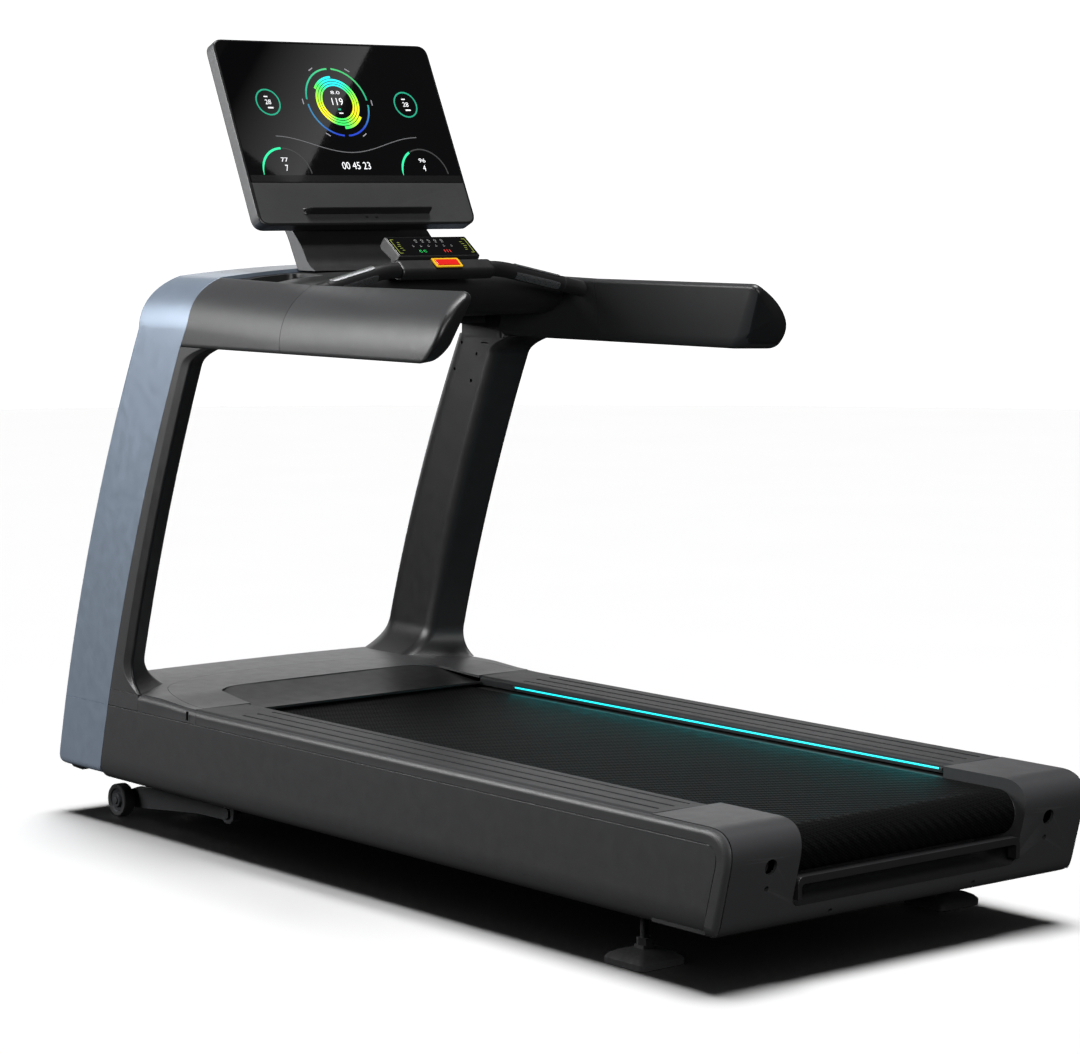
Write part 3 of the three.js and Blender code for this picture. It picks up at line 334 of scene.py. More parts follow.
class Finish:
    """A Principled material with helpers to add and link its nodes."""

    def __init__(self, name, color, roughness, metallic=0.0, specular=0.5):
        self.material = bpy.data.materials.new(name)
        self.material.use_nodes = True
        self.material.diffuse_color = (*color, 1)
        self.tree = self.material.node_tree
        self.shader = self.tree.nodes["Principled BSDF"]
        self.shader.inputs["Base Color"].default_value = (*color, 1)
        self.shader.inputs["Roughness"].default_value = roughness
        self.shader.inputs["Metallic"].default_value = metallic
        self.shader.inputs["Specular IOR Level"].default_value = specular
        self.place = self.node("TexCoord").outputs["Object"]

    def node(self, kind, settings=None, **inputs):
        node = self.tree.nodes.new("ShaderNode" + kind)
        for key, value in (settings or {}).items():
            setattr(node, key, value)
        for key, value in inputs.items():
            node.inputs[key.replace("_", " ")].default_value = value
        return node

    def link(self, source, target):
        self.tree.links.new(source, target)

    def noise(self, scale, detail=3.0, rough=0.5, place=None):
        node = self.node("TexNoise", Scale=scale, Detail=detail, Roughness=rough)
        self.link(place or self.place, node.inputs["Vector"])
        return node.outputs["Fac"]

    def remap(self, value, low, high, to_low, to_high):
        node = self.node("MapRange", From_Min=low, From_Max=high, To_Min=to_low, To_Max=to_high)
        self.link(value, node.inputs["Value"])
        return node.outputs["Result"]

    def maths(self, operation, a, b):
        node = self.node("Math", {"operation": operation})
        for socket, value in zip(node.inputs, (a, b)):
            if isinstance(value, (int, float)):
                socket.default_value = value
            else:
                self.link(value, socket)
        return node.outputs["Value"]

    def mix(self, share, first, second):
        node = self.node("Mix", {"data_type": "RGBA"})
        for socket, value in ((node.inputs[6], first), (node.inputs[7], second)):
            if isinstance(value, tuple):
                socket.default_value = (*value, 1)
            else:
                self.link(value, socket)
        if isinstance(share, (int, float)):
            node.inputs["Factor"].default_value = share
        else:
            self.link(share, node.inputs["Factor"])
        return node.outputs[2]

    def paint(self, color):
        self.link(color, self.shader.inputs["Base Color"])

    def shine(self, low, high, scale=35.0):
        """Roughness that drifts between two values."""
        self.link(self.remap(self.noise(scale), 0.3, 0.7, low, high), self.shader.inputs["Roughness"])

    def bump(self, height, strength, distance, base=None):
        node = self.node("Bump", Strength=strength, Distance=distance)
        self.link(height, node.inputs["Height"])
        if base:
            self.link(base, node.inputs["Normal"])
        return node.outputs["Normal"]

    def relief(self, normal):
        self.link(normal, self.shader.inputs["Normal"])

    def worn(self, color, lighter, amount):
        """The colour with its outer edges rubbed a little lighter."""
        edge = self.node("NewGeometry").outputs["Pointiness"]
        share = self.maths("MULTIPLY", self.remap(edge, 0.52, 0.6, 0.0, amount), self.noise(120))
        return self.mix(share, color, lighter)


def shade(color, factor):
    return tuple(min(1.0, c * factor) for c in color)


def moulded(name, color, roughness, grain=0.25, specular=0.5):
    """Moulded or powder-coated shell: fine grain, slight cloudiness and rubbed edges."""
    f = Finish(name, color, roughness, specular=specular)
    cloudy = f.mix(f.noise(4.5), shade(color, 0.96), shade(color, 1.04))
    speckled = f.mix(f.remap(f.noise(1400), 0.55, 0.8, 0.0, 0.35), cloudy, shade(color, 1.7))
    f.paint(f.worn(speckled, shade(color, 2.4), 0.5))
    f.shine(roughness - 0.02, roughness + 0.03)
    f.relief(f.bump(f.noise(1900, 2.0), grain, 0.0002))
    return f.material


def metallic_paint(name, color):
    f = Finish(name, color, 0.36, metallic=0.55)
    flakes = f.node("TexVoronoi", Scale=2600.0)
    f.link(f.place, flakes.inputs["Vector"])
    sparkle = f.remap(flakes.outputs["Distance"], 0.0, 0.6, 0.3, 0.0)
    soft = f.mix(f.noise(3.0), shade(color, 0.94), shade(color, 1.06))
    f.paint(f.mix(sparkle, soft, shade(color, 1.5)))
    f.shine(0.33, 0.4)
    f.shader.inputs["Coat Weight"].default_value = 0.25
    f.shader.inputs["Coat Roughness"].default_value = 0.18
    f.relief(f.bump(f.noise(900, 2.0), 0.08, 0.0001))
    return f.material


def brushed(name, color, roughness, along=(4.0, 4.0, 900.0)):
    """Metal with fine scratches; along holds the noise scale on each axis."""
    f = Finish(name, color, roughness, metallic=1.0)
    stretch = f.node("Mapping", Scale=along)
    f.link(f.place, stretch.inputs["Vector"])
    lines = f.noise(1.0, 4.0, 0.7, stretch.outputs["Vector"])
    f.paint(f.mix(lines, shade(color, 0.75), shade(color, 1.2)))
    f.link(f.remap(lines, 0.2, 0.8, roughness - 0.08, roughness + 0.12), f.shader.inputs["Roughness"])
    f.relief(f.bump(lines, 0.25, 0.0002))
    return f.material


def cast_metal(name, color, roughness=0.5):
    f = Finish(name, color, roughness, metallic=0.85)
    f.paint(f.worn(f.mix(f.noise(18), shade(color, 0.75), shade(color, 1.15)), shade(color, 1.8), 0.6))
    f.shine(roughness - 0.08, roughness + 0.12, 60.0)
    f.relief(f.bump(f.noise(420, 4.0), 0.35, 0.0004))
    return f.material


def rubbery(name, color, roughness=0.75):
    f = Finish(name, color, roughness, specular=0.35)
    dusty = f.mix(f.remap(f.noise(9), 0.45, 0.75, 0.0, 0.5), shade(color, 0.8), shade(color, 2.0))
    f.paint(f.worn(dusty, shade(color, 3.0), 0.4))
    f.shine(roughness - 0.1, roughness + 0.1, 80.0)
    f.relief(f.bump(f.noise(700, 4.0), 0.3, 0.0004))
    return f.material


def fibreboard(name, color):
    f = Finish(name, color, 0.55)
    stretch = f.node("Mapping", Scale=(220.0, 30.0, 220.0))
    f.link(f.place, stretch.inputs["Vector"])
    fibres = f.noise(1.0, 5.0, 0.7, stretch.outputs["Vector"])
    f.paint(f.mix(fibres, shade(color, 0.6), shade(color, 1.25)))
    f.shine(0.45, 0.65)
    f.relief(f.bump(fibres, 0.2, 0.0003))
    return f.material


def lit(name, color, strength, cloud=0.0):
    """A lit surface behind a clear cover; cloud dims it unevenly."""
    f = Finish(name, shade(color, 0.4), 0.3)
    drift = f.mix(f.noise(60), shade(color, 1.0 - cloud), color)
    f.paint(drift)
    f.link(drift, f.shader.inputs["Emission Color"])
    f.shader.inputs["Emission Strength"].default_value = strength
    return f.material


def glossy(name, color, roughness=0.12, coat=0.6):
    f = Finish(name, color, roughness)
    f.paint(f.mix(f.noise(14), shade(color, 0.88), shade(color, 1.12)))
    f.shine(roughness, roughness + 0.03, 50.0)
    f.shader.inputs["Coat Weight"].default_value = coat
    f.shader.inputs["Coat Roughness"].default_value = min(0.05, roughness)
    f.relief(f.bump(f.noise(260, 2.0), 0.04, 0.0002))
    return f.material


def belt_fabric(name, color):
    """Woven belt: short slanting stitches in rows, over slanting ribs; the grooves carry painted shade and
    the stitch tops a painted highlight.
    """
    f = Finish(name, color, 0.75, specular=0.05)
    flat = f.node("UVMap", {"uv_map": "belt_length"}).outputs["UV"]
    slant = f.node("Mapping", Rotation=(0, 0, math.radians(32)))
    f.link(flat, slant.inputs["Vector"])
    stitches = f.node(
        "TexBrick", {"offset": 0.5}, Scale=46.0, Mortar_Size=0.06, Mortar_Smooth=0.6,
        Brick_Width=0.62, Row_Height=0.22, Bias=0.0,
    )
    f.link(slant.outputs["Vector"], stitches.inputs["Vector"])
    groove = stitches.outputs["Fac"]
    ribs = f.node("TexWave", {"bands_direction": "DIAGONAL"}, Scale=26.0, Distortion=0.3)
    f.link(flat, ribs.inputs["Vector"])
    thread = f.noise(1500, 2.0, place=flat)
    worn = f.remap(f.noise(5, place=flat), 0.4, 0.7, 0.0, 0.45)
    # Painted shade and highlight: the sunken grooves are darkened and the stitch tops lightened.
    stitch_tops_and_groove_shade = f.mix(groove, shade(color, 1.5), shade(color, 0.2))
    f.paint(f.mix(worn, stitch_tops_and_groove_shade, shade(color, 1.6)))
    f.link(f.remap(groove, 0.0, 1.0, 0.6, 0.95), f.shader.inputs["Roughness"])
    broad = f.bump(ribs.outputs["Fac"], 0.6, 0.003)
    stitched = f.bump(groove, -1.0, 0.0022, broad)
    f.relief(f.bump(thread, 0.3, 0.0003, stitched))
    return f.material


CHARCOAL = moulded("satin_charcoal", (0.036, 0.0365, 0.038), 0.42)
RAIL_GREY = moulded("satin_rail_grey", (0.022, 0.0225, 0.0235), 0.5, specular=0.2)
SOFT_BLACK = moulded("satin_black", (0.011, 0.011, 0.0118), 0.38)
RAMP_BLACK = moulded("ramp_black", (0.009, 0.009, 0.0095), 0.42, grain=0.12, specular=0.3)
GRIP_BLACK = rubbery("grip_strip_black", (0.01, 0.01, 0.011), 0.55)
BLUE = metallic_paint("blue_grey_metallic", (0.26, 0.315, 0.395))
FRAME_PAINT = moulded("frame_powder_coat", (0.02, 0.021, 0.023), 0.5, grain=0.5)
REAR_GREY = moulded("satin_rear_grey", (0.034, 0.0345, 0.036), 0.45, specular=0.3)
BELT = belt_fabric("running_belt_weave", (0.0024, 0.0025, 0.0026))
STEEL_X = brushed("brushed_steel_bar", (0.62, 0.63, 0.65), 0.28, (30.0, 900.0, 900.0))
STEEL_ROLLER = brushed("turned_steel", (0.5, 0.5, 0.52), 0.3, (700.0, 12.0, 12.0))
BARE_METAL = cast_metal("cast_aluminium", (0.3, 0.31, 0.33))
RUBBER = rubbery("black_rubber", (0.014, 0.014, 0.015))
BOARD = fibreboard("black_phenolic_board", (0.012, 0.0115, 0.011))
GLASS = glossy("display_cover", (0.0035, 0.0035, 0.004), 0.015)
STOP_RED = glossy("stop_red", (0.75, 0.012, 0.008), 0.25)
STOP_YELLOW = glossy("stop_yellow", (0.85, 0.5, 0.01), 0.3)
LIGHT = lit("light_guide_cyan", (0.012, 0.6, 0.66), 1.6, 0.1)
WHEEL_HUB = cast_metal("wheel_hub_grey", (0.05, 0.052, 0.056))
# Near-black matte finish for the cups behind the rear cover's holes: painted shade.
HOLE_SHADE_BLACK = rubbery("painted_recess_shade", (0.003, 0.003, 0.003), 0.9)


# ---- Hull ---------------------------------------------------------------------------------------

REAR_TOP_CORNER = (-1089.8, RAIL_TOP)
REAR_FOOT_CORNER = (-1040.5, HULL_BOTTOM)


def rear_curve(front_y, inset=0.0):
    """The hull's rear end from the side: front, over the round top corner and down to the foot."""
    top = (REAR_TOP_CORNER[0] + inset, REAR_TOP_CORNER[1] - inset)
    foot = (REAR_FOOT_CORNER[0] + inset, REAR_FOOT_CORNER[1] + inset)
    points = [(front_y, top[1]), top, foot, (front_y, foot[1])]
    return rounded(points, [0, 72, 34, 0], 14)


def side_panel():
    section = [
        (HALF_WIDTH, SEAM_Z - HAIRLINE),
        (HALF_WIDTH, 120),
        (434, HULL_BOTTOM),
        (404, HULL_BOTTOM),
        (404, HULL_BOTTOM + 5),
        (431, HULL_BOTTOM + 6),
        (HALF_WIDTH - SKIN, 126),
        (HALF_WIDTH - SKIN, SEAM_Z - HAIRLINE),
    ]
    bar = mesh_of(prism_y(rounded(section, [0, 34, 26, 0, 0, 12, 16, 0], 8), -1060, 980))
    fascia = [(edge_y(FASCIA_EDGE, z) - HAIRLINE, z) for z in range(270, 85, -20)]
    curve = rounded([(-900, SEAM_Z + 6), (-1052.5, SEAM_Z + 6), (-1003.5, 84), (-900, 84)], [0, 48, 0, 0], 14)
    outline = fascia[::-1] + curve
    return meet(bar, prism_x(outline, 380, 480))


TRIM_ROUND = 14


def trim_outline(inset):
    """The band's outer edge from the side, drawn in by the inset."""
    top = RAIL_TOP - inset
    return rounded(
        [(SIDE_SEAM_Y, top + 8), (700, top + 7), (560, top), (REAR_TOP_CORNER[0] + inset, top),
         (REAR_FOOT_CORNER[0] + inset, HULL_BOTTOM + inset * 0.3), (-1006.2, HULL_BOTTOM + inset * 0.3)],
        [0, 60, 60, 72, 34, 0], 14,
    )


def side_trim():
    """The band above the side panel, which also wraps the rear end, with its outer corner rounded."""
    inner = rounded(
        [(-1010.3, 107), (-1052.5 - HAIRLINE, SEAM_Z + HAIRLINE), (SIDE_SEAM_Y, SEAM_Z + HAIRLINE)],
        [0, 42, 0], 14,
    )
    rings = []
    first = math.asin(1 - SKIN / TRIM_ROUND)
    for step in range(7):
        turn = first + (math.pi / 2 - first) * step / 6
        x = HALF_WIDTH - TRIM_ROUND * (1 - math.sin(turn))
        rings.append([(x, y, z) for y, z in trim_outline(TRIM_ROUND * (1 - math.cos(turn))) + inner])
    band = meet(mesh_of(loft(rings)), hull_section())
    slot = slab(440, 460, 590, 600, SEAM_Z + 5, SEAM_Z + 24)
    seams = [slab(HALF_WIDTH - 1.4, 460, y, y + 0.9, SEAM_Z + 2, RAIL_TOP + 20) for y in (561, 584)]
    return cut(band, slot, *seams)


def hull_section():
    """The hull's cross-section from end to end: its bottom edges roll under."""
    half = HALF_WIDTH + 0.6
    corners = [(half, HULL_BOTTOM - 0.3), (-half, HULL_BOTTOM - 0.3), (-half, 420), (half, 420)]
    return prism_y(rounded(corners, [32, 32, 0, 0], 8), -1300, 1300)


def deck_edge():
    """The deck's side band ahead of the trim, up to the fascia and under the upright's foot."""
    low, high = SEAM_Z + HAIRLINE, UPRIGHT_FOOT + 1
    outline = [
        (SIDE_SEAM_Y + 1, low),
        (edge_y(FASCIA_EDGE, low) - 1, low),
        (edge_y(FASCIA_EDGE, high) - 1, high),
        (SIDE_SEAM_Y + 1, high),
    ]
    return mesh_of(prism_x(outline, HALF_WIDTH - SKIN, HALF_WIDTH - 0.4))


GROOVES = (336.5, 373.2, 409.4)
GROOVE_REAR, GROOVE_FRONT = -843, 452
GROOVE_HALF = (GROOVE_FRONT - GROOVE_REAR) / 2
GROOVE_MIDDLE = (GROOVE_FRONT + GROOVE_REAR) / 2


def foot_rail():
    section = [
        (RAIL_INNER, BELT_TOP + 1),
        (RAIL_INNER, RAIL_TOP),
        (445.4, RAIL_TOP + 1),
        (445.4, 256),
        (441, 256),
        (441, RAIL_TOP - 5),
        (317, RAIL_TOP - 6),
        (317, BELT_TOP + 1),
    ]
    rail = mesh_of(prism_y(rounded(section, [1, 8, 9, 0, 0, 2, 2, 1], 6), RAIL_REAR + 0.15, RAIL_FRONT))
    slots = []
    for x in GROOVES:
        outline = [(x + u, GROOVE_MIDDLE + v) for u, v in rectangle(4.2, GROOVE_HALF + 1, 4)]
        slots.append(prism_z(outline, RAIL_TOP - 2.6, RAIL_TOP + 10))
    return cut(rail, *slots)


def grip_strips():
    """The black strips that lie sunk in the rail's grooves, each with round ends and a low crown."""
    shapes = []
    for x in GROOVES:
        levels = [(3.6, RAIL_TOP - 2.5), (3.6, RAIL_TOP - 1.6), (3.0, RAIL_TOP - 1.0), (1.8, RAIL_TOP - 0.7)]
        rings = []
        for half, z in levels:
            outline = rectangle(half, GROOVE_HALF - 3.6 + half, half, 8)
            rings.append([(x + u, GROOVE_MIDDLE + v, z) for u, v in outline])
        shapes.append(loft(rings))
    return mesh_of(*shapes)


MOUTH_HALF = 284
MOUTH_LOW = 136
REAR_HOLES = ((352, 220, 14), (353, 180, 5), (182, 114, 5))


def rear_cover():
    half = HALF_WIDTH - SKIN - 1.6
    outer = mesh_of(prism_x(rear_curve(RAIL_REAR - 0.15), -half, half))
    room = prism_x(rear_curve(RAIL_REAR + 30, 7), -HALF_WIDTH + 16, HALF_WIDTH - 16)
    mouth = [(x, z + MOUTH_LOW + 200) for x, z in rectangle(MOUTH_HALF, 200, 20)]
    throat = [(x, z + MOUTH_LOW + 200) for x, z in rectangle(MOUTH_HALF + 4, 204, 24)]
    hollow = cut(mesh_of(room), prism_y(throat, -1200, -700))
    cover = cut(outer, hollow, prism_y(mouth, -1200, -700))
    drills = []
    for side in (-1, 1):
        for x, z, radius in REAR_HOLES:
            drills.append(rod((side * x, -1120, z), (side * x, -1020, z), radius, 40))
    return meet(cut(cover, *drills), hull_section())


def mouth_bar():
    """The thin bar across the mouth below the roller, with its ends turned down into the cover."""
    corners = [
        (-282, 150), (-282, 191), (282, 191), (282, 150), (273, 150), (273, 177), (-273, 177), (-273, 150),
    ]
    return mesh_of(prism_y(rounded(corners, [0, 14, 14, 0, 0, 8, 8, 0], 6), -1066, -1044))


def hole_shade_cups():
    """Near-black cups behind the holes in the rear cover: painted shade inside the holes."""
    shapes = []
    for side in (-1, 1):
        for x, z, radius in REAR_HOLES:
            y = -1046 if z > 150 else -1030
            shapes.append(rod((side * x, y, z), (side * x, y + 14, z), radius + 4, 24))
    return mesh_of(*shapes)


def crown(x, y):
    """Height of the deck's top at a point: a low crown that falls to the side edges and the front."""
    across = 1 - (abs(x) / HALF_WIDTH) ** 2.2
    rise = min(1.0, max(0.0, (y - RAIL_FRONT) / 150))
    top = RAIL_TOP + 1 + 7 * (rise * rise * (3 - 2 * rise)) + 4.5 * across * rise
    ahead = max(0.0, (y - 1035) / 50)
    return top - 9 * ahead ** 2.4


def deck_sheet(front_y, thickness=5):
    """A crowned sheet over the whole front deck, as a closed body."""
    half = HALF_WIDTH - SKIN - HAIRLINE
    xs = [half * (i / 20 - 1) for i in range(41)]
    ys = [RAIL_FRONT + HAIRLINE + (front_y - RAIL_FRONT) * i / 44 for i in range(45)]
    rings = []
    for y in ys:
        top = [(x, y, crown(x, y)) for x in xs]
        under = [(x, y, crown(x, y) - thickness) for x in reversed(xs)]
        rings.append(top + under)
    return loft(rings)


def lid_plan(grow=0.0):
    """The lid's outline from above: straight sides that run in, then one long curve across the front."""
    half = 424 + grow
    side = [(half, RAIL_FRONT - 12), (half, 660), (half - 26, 745), (half - 74, 838), (228, 904 + grow)]
    corners = [*side, (0, 912 + grow), *[(-x, y) for x, y in reversed(side)]]
    return rounded(corners, [0, 40, 40, 50, 90, 60, 90, 50, 40, 40, 0], 8)


RAMP_BACK = 745
RAMP_HALF_BACK = 250
RAMP_TIP = (293, 711)
RAMP_LOW = 281


def ramp_plan(grow=0.0):
    corners = [
        (-RAIL_INNER - grow, RAIL_FRONT - 30),
        (RAIL_INNER + grow, RAIL_FRONT - 30),
        (RAMP_TIP[0] + grow, RAMP_TIP[1]),
        (RAMP_HALF_BACK, RAMP_BACK + grow),
        (-RAMP_HALF_BACK, RAMP_BACK + grow),
        (-RAMP_TIP[0] - grow, RAMP_TIP[1]),
    ]
    return rounded(corners, [0, 0, 14, 30, 30, 14], 8)


def ramp():
    """The sunken slope from the lid down to the belt, with a rolled lip at its low edge."""
    rings = []
    for step in range(17):
        t = step / 16
        y = RAIL_FRONT - 4 + (RAMP_BACK + 4 - RAIL_FRONT) * t
        z = RAMP_LOW + (HOOD_TOP + 3.2 - RAMP_LOW) * t ** 1.25
        rings.append([(-RAIL_INNER - 4, y, z), (RAIL_INNER + 4, y, z), (RAIL_INNER + 4, y, z - 5),
                      (-RAIL_INNER - 4, y, z - 5)])
    slope = mesh_of(loft(rings))
    return meet(slope, prism_z(ramp_plan(1.5), 200, 400))


def ramp_lip():
    return mesh_of(tube([(x, RAIL_FRONT - 3, RAMP_LOW - 1.5) for x in range(-306, 307, 36)], 3.2, 16))


def hood_lid():
    sheet = mesh_of(deck_sheet(1084))
    lid = meet(sheet, prism_z(lid_plan(), 200, 400))
    return cut(lid, prism_z(ramp_plan(), 200, 400))


def front_deck():
    sheet = mesh_of(deck_sheet(1086))
    corners = []
    for side in (-1, 1):
        plan = [(side * 470, 1120), (side * 470, 1040), (side * 436, 1052), (side * 424, 1120)]
        corners.append(prism_z(rounded(plan, [0, 0, 20, 0], 6), 200, 400))
    return cut(sheet, prism_z(lid_plan(HAIRLINE + 0.3), 200, 400), *corners)


def front_skirt():
    """The deck's rolled front edge and the panel below it, down to the hull's foot."""
    profile = [(1083, 296), (1088, 288), (1094, 262), (1113, 112), (1104, 100), (1060, 98),
               (1060, 103), (1102, 105), (1107, 113), (1088, 262), (1082, 286)]
    panel = mesh_of(prism_x(rounded(profile, [2, 6, 20, 12, 8, 1, 1, 6, 8, 14, 2], 5), -428, 428))
    return cut(panel, slab(229, 261, 1070, 1130, 134, 162), slab(181, 209, 1070, 1130, 137, 160))


pair("side_panel_skin", side_panel(), CHARCOAL, ["side_panel"], slot="charcoal_shell", edge=0.8)
pair("side_trim_skin", side_trim(), CHARCOAL, ["side_trim"], slot="charcoal_shell", edge=0.7, segments=2)
pair("deck_edge_skin", deck_edge(), CHARCOAL, slot="charcoal_shell", edge=0.7, segments=2)
pair("foot_rail_skin", foot_rail(), RAIL_GREY, ["foot_rail"], slot="charcoal_shell", edge=0.35, segments=2)
pair("grip_strips", grip_strips(), GRIP_BLACK, slot="rubber")
piece("rear_cover_skin", rear_cover(), REAR_GREY, slot="charcoal_shell", replaces=["rear_cover"], edge=0.9)
piece("rear_mouth_bar", mouth_bar(), SOFT_BLACK, slot="charcoal_shell", edge=0.6, segments=2)
# The cups behind the rear holes are painted shade: a dark sheet where the holes fall in shade.
piece("rear_cover_shade_cups", hole_shade_cups(), HOLE_SHADE_BLACK, slot="rubber")
piece("hood_lid_skin", hood_lid(), CHARCOAL, slot="charcoal_shell", replaces=["motor_hood"], edge=0.9)
piece("front_deck_skin", front_deck(), CHARCOAL, slot="charcoal_shell", replaces=["front_deck"], edge=0.9)
piece("hood_ramp", ramp(), RAMP_BLACK, slot="black_shell", edge=0.8)
piece("hood_ramp_lip", ramp_lip(), SOFT_BLACK, slot="black_shell")
piece("front_panel_skin", front_skirt(), SOFT_BLACK, slot="black_shell", replaces=["front_panel"], edge=0.8)


# ---- Belt and lights ----------------------------------------------------------------------------

def running_belt():
    """The endless belt, with a map that runs along its length so that the weave isn't stretched."""
    radius = (BELT_TOP - BELT_LOW) / 2
    centre = (BELT_TOP + BELT_LOW) / 2
    thickness = 3
    straight = 48
    outline = []
    for side, start, end in ((1, REAR_ROLLER_Y, FRONT_ROLLER_Y), (-1, FRONT_ROLLER_Y, REAR_ROLLER_Y)):
        for step in range(straight):
            outline.append((start + (end - start) * step / straight, centre + side * radius, 0, side))
        for step in range(40):
            turn = side * math.pi / 2 - math.pi * step / 40
            cosine, sine = math.cos(turn), math.sin(turn)
            outline.append((end + radius * cosine, centre + radius * sine, cosine, sine))
    section = [(-BELT_HALF, -0.6), (-BELT_HALF + 0.8, 0), (BELT_HALF - 0.8, 0), (BELT_HALF, -0.6),
               (BELT_HALF, -thickness), (-BELT_HALF, -thickness)]
    rings = []
    for y, z, ny, nz in outline:
        rings.append([(x, y + ny * depth, z + nz * depth) for x, depth in section])
    points, faces = loft(rings, True)
    mesh = bpy.data.meshes.new("belt")
    mesh.from_pydata([metres(p) for p in points], [], faces)
    travelled = [0.0]
    for a, b in zip(outline, [*outline[1:], outline[0]]):
        travelled.append(travelled[-1] + math.dist(a[:2], b[:2]) * MM)
    layer = mesh.uv_layers.new(name="belt_length")
    count = len(section)
    for polygon in mesh.polygons:
        rows = [index // count for index in polygon.vertices]
        wraps = max(rows) - min(rows) > 1
        for loop, row in zip(polygon.loop_indices, rows):
            along = travelled[-1] if wraps and row == 0 else travelled[row]
            layer.data[loop].uv = (mesh.vertices[mesh.loops[loop].vertex_index].co.x, along)
    return clean(mesh, face_out)


def light_guide():
    body = [(x + 308.2, z + 282.4) for x, z in rectangle(1.6, 1.7, 1.2, 4)]
    return mesh_of(prism_y(body, LIGHT_REAR + 6, LIGHT_FRONT - 4))


def light_ends():
    shapes = []
    for near, far in ((LIGHT_REAR - 4, LIGHT_REAR + 6), (LIGHT_FRONT - 4, LIGHT_FRONT + 3)):
        body = [(x + 307.6, z + 281.2) for x, z in rectangle(2.6, 4.6, 1.8, 4)]
        shapes.append(prism_y(body, near, far))
    return mesh_of(*shapes)


piece("running_belt_weave", running_belt(), BELT, slot="belt", replaces=["running_belt"])
pair("light_guide", light_guide(), LIGHT, ["light_strip"], slot="light_strip")
pair("light_end_caps", light_ends(), SOFT_BLACK, slot="black_shell", edge=0.5)


# ---- Uprights, arms and arch --------------------------------------------------------------------

def window_y(z):
    """The rear edge of an upright's side, which sweeps back into the deck below and the arm above."""
    high = max(0.0, 1 - (ARM_BOTTOM - z) / 40)
    return edge_y(WINDOW_EDGE, z) + 7 - 85 * foot_flare(z) - 60 * min(1.0, high) ** 2.2


def foot_flare(z):
    """How far the foot has spread at a height, from 0 on the straight stretch to 1 at the deck."""
    return max(0.0, 1 - (z - UPRIGHT_FOOT) / 73) ** 2.2


def upright_ring(z):
    rear, front, split = window_y(z), edge_y(FRONT_EDGE, z), edge_y(FASCIA_EDGE, z) - HAIRLINE
    spread = foot_flare(z)
    inner = UPRIGHT_INNER - 66 * spread
    corners = [
        (HALF_WIDTH, rear),
        (HALF_WIDTH, split),
        (436, split),
        (436, front - 28),
        (427, front - 28),
        (427, front - 5),
        (inner + 18, front - 14),
        (inner + 1, front - 46),
        (inner, rear + 30 + 86 * spread),
        (inner + 8, rear + 10 + 86 * spread),
        (451, rear - 33 * (1 - spread)),
    ]
    reach = [3, 0, 0, 0, 0, 4, 16, 20, 8, 12, 9]
    return [(x, y, z) for x, y in rounded(corners, reach, 6)]


def upright():
    foot = [UPRIGHT_FOOT + 2 + 70 * (i / 14) ** 1.5 for i in range(15)]
    middle = [372 + (1008 - 372) * i / 16 for i in range(1, 17)]
    top = [1050.4 - 40 * (1 - i / 10) ** 1.6 for i in range(11)]
    return mesh_of(loft([upright_ring(z) for z in foot + middle + top]))


def upright_slots():
    """Four screw holes and a short slit near the top of each upright's inner face."""
    shapes = [rod((UPRIGHT_INNER - 8, y, z), (UPRIGHT_INNER + 12, y, z), 4.2, 24)
              for y, z in ((737, 1030), (682, 1006), (764, 969), (702, 945))]
    shapes.append(slab(UPRIGHT_INNER - 8, UPRIGHT_INNER + 12, 640, 664, 1031, 1034))
    return shapes


def bezier(start, control, end, steps):
    """Points along a quadratic curve, without its first point."""
    a, b, c = Vector(start), Vector(control), Vector(end)
    shares = [i / steps for i in range(1, steps + 1)]
    return [tuple(a * (1 - t) ** 2 + b * (2 * t * (1 - t)) + c * t * t) for t in shares]


SHOULDER_START, SHOULDER_CONTROL, SHOULDER_END = (HALF_WIDTH, 1085), (452, 1165), (369, 1193.6)
CROWN_CONTROL, CROWN = (190, 1212.5), (0, 1214)
FOOT_ROUND, FOOT_ROLL = 26, 12


def cover_path():
    """The metallic cover's outer surface from the right foot over the shoulder to the left foot."""
    foot = [FASCIA_LOW + FOOT_ROUND * (1 - math.cos(math.pi / 16 * i)) for i in range(9)]
    straight = [foot[-1] + (SHOULDER_START[1] - foot[-1]) * i / 24 for i in range(1, 25)]
    rise = [(HALF_WIDTH, z) for z in foot + straight]
    bulge = bezier(SHOULDER_START, SHOULDER_CONTROL, SHOULDER_END, 14)
    top = bezier(SHOULDER_END, CROWN_CONTROL, CROWN, 10)
    half = rise + bulge + top
    return half + [(-x, z) for x, z in reversed(half[:-1])]


def cover_rear(z):
    """The cover's rear edge: it follows the fascia's line up an upright, then runs back to the arch."""
    if z < 1060:
        return edge_y(FASCIA_EDGE, z)
    return ARCH_REAR + (edge_y(FASCIA_EDGE, 1060) - ARCH_REAR) * max(0.0, 1 - (z - 1060) / 52) ** 2


def eased_corner(z, radius):
    """How far a surface has drawn in at a height, where a corner of that radius meets the foot."""
    rise = min(1.0, (z - FASCIA_LOW) / radius)
    return radius * (1 - math.sqrt(max(0.0, 1 - (1 - rise) ** 2)))


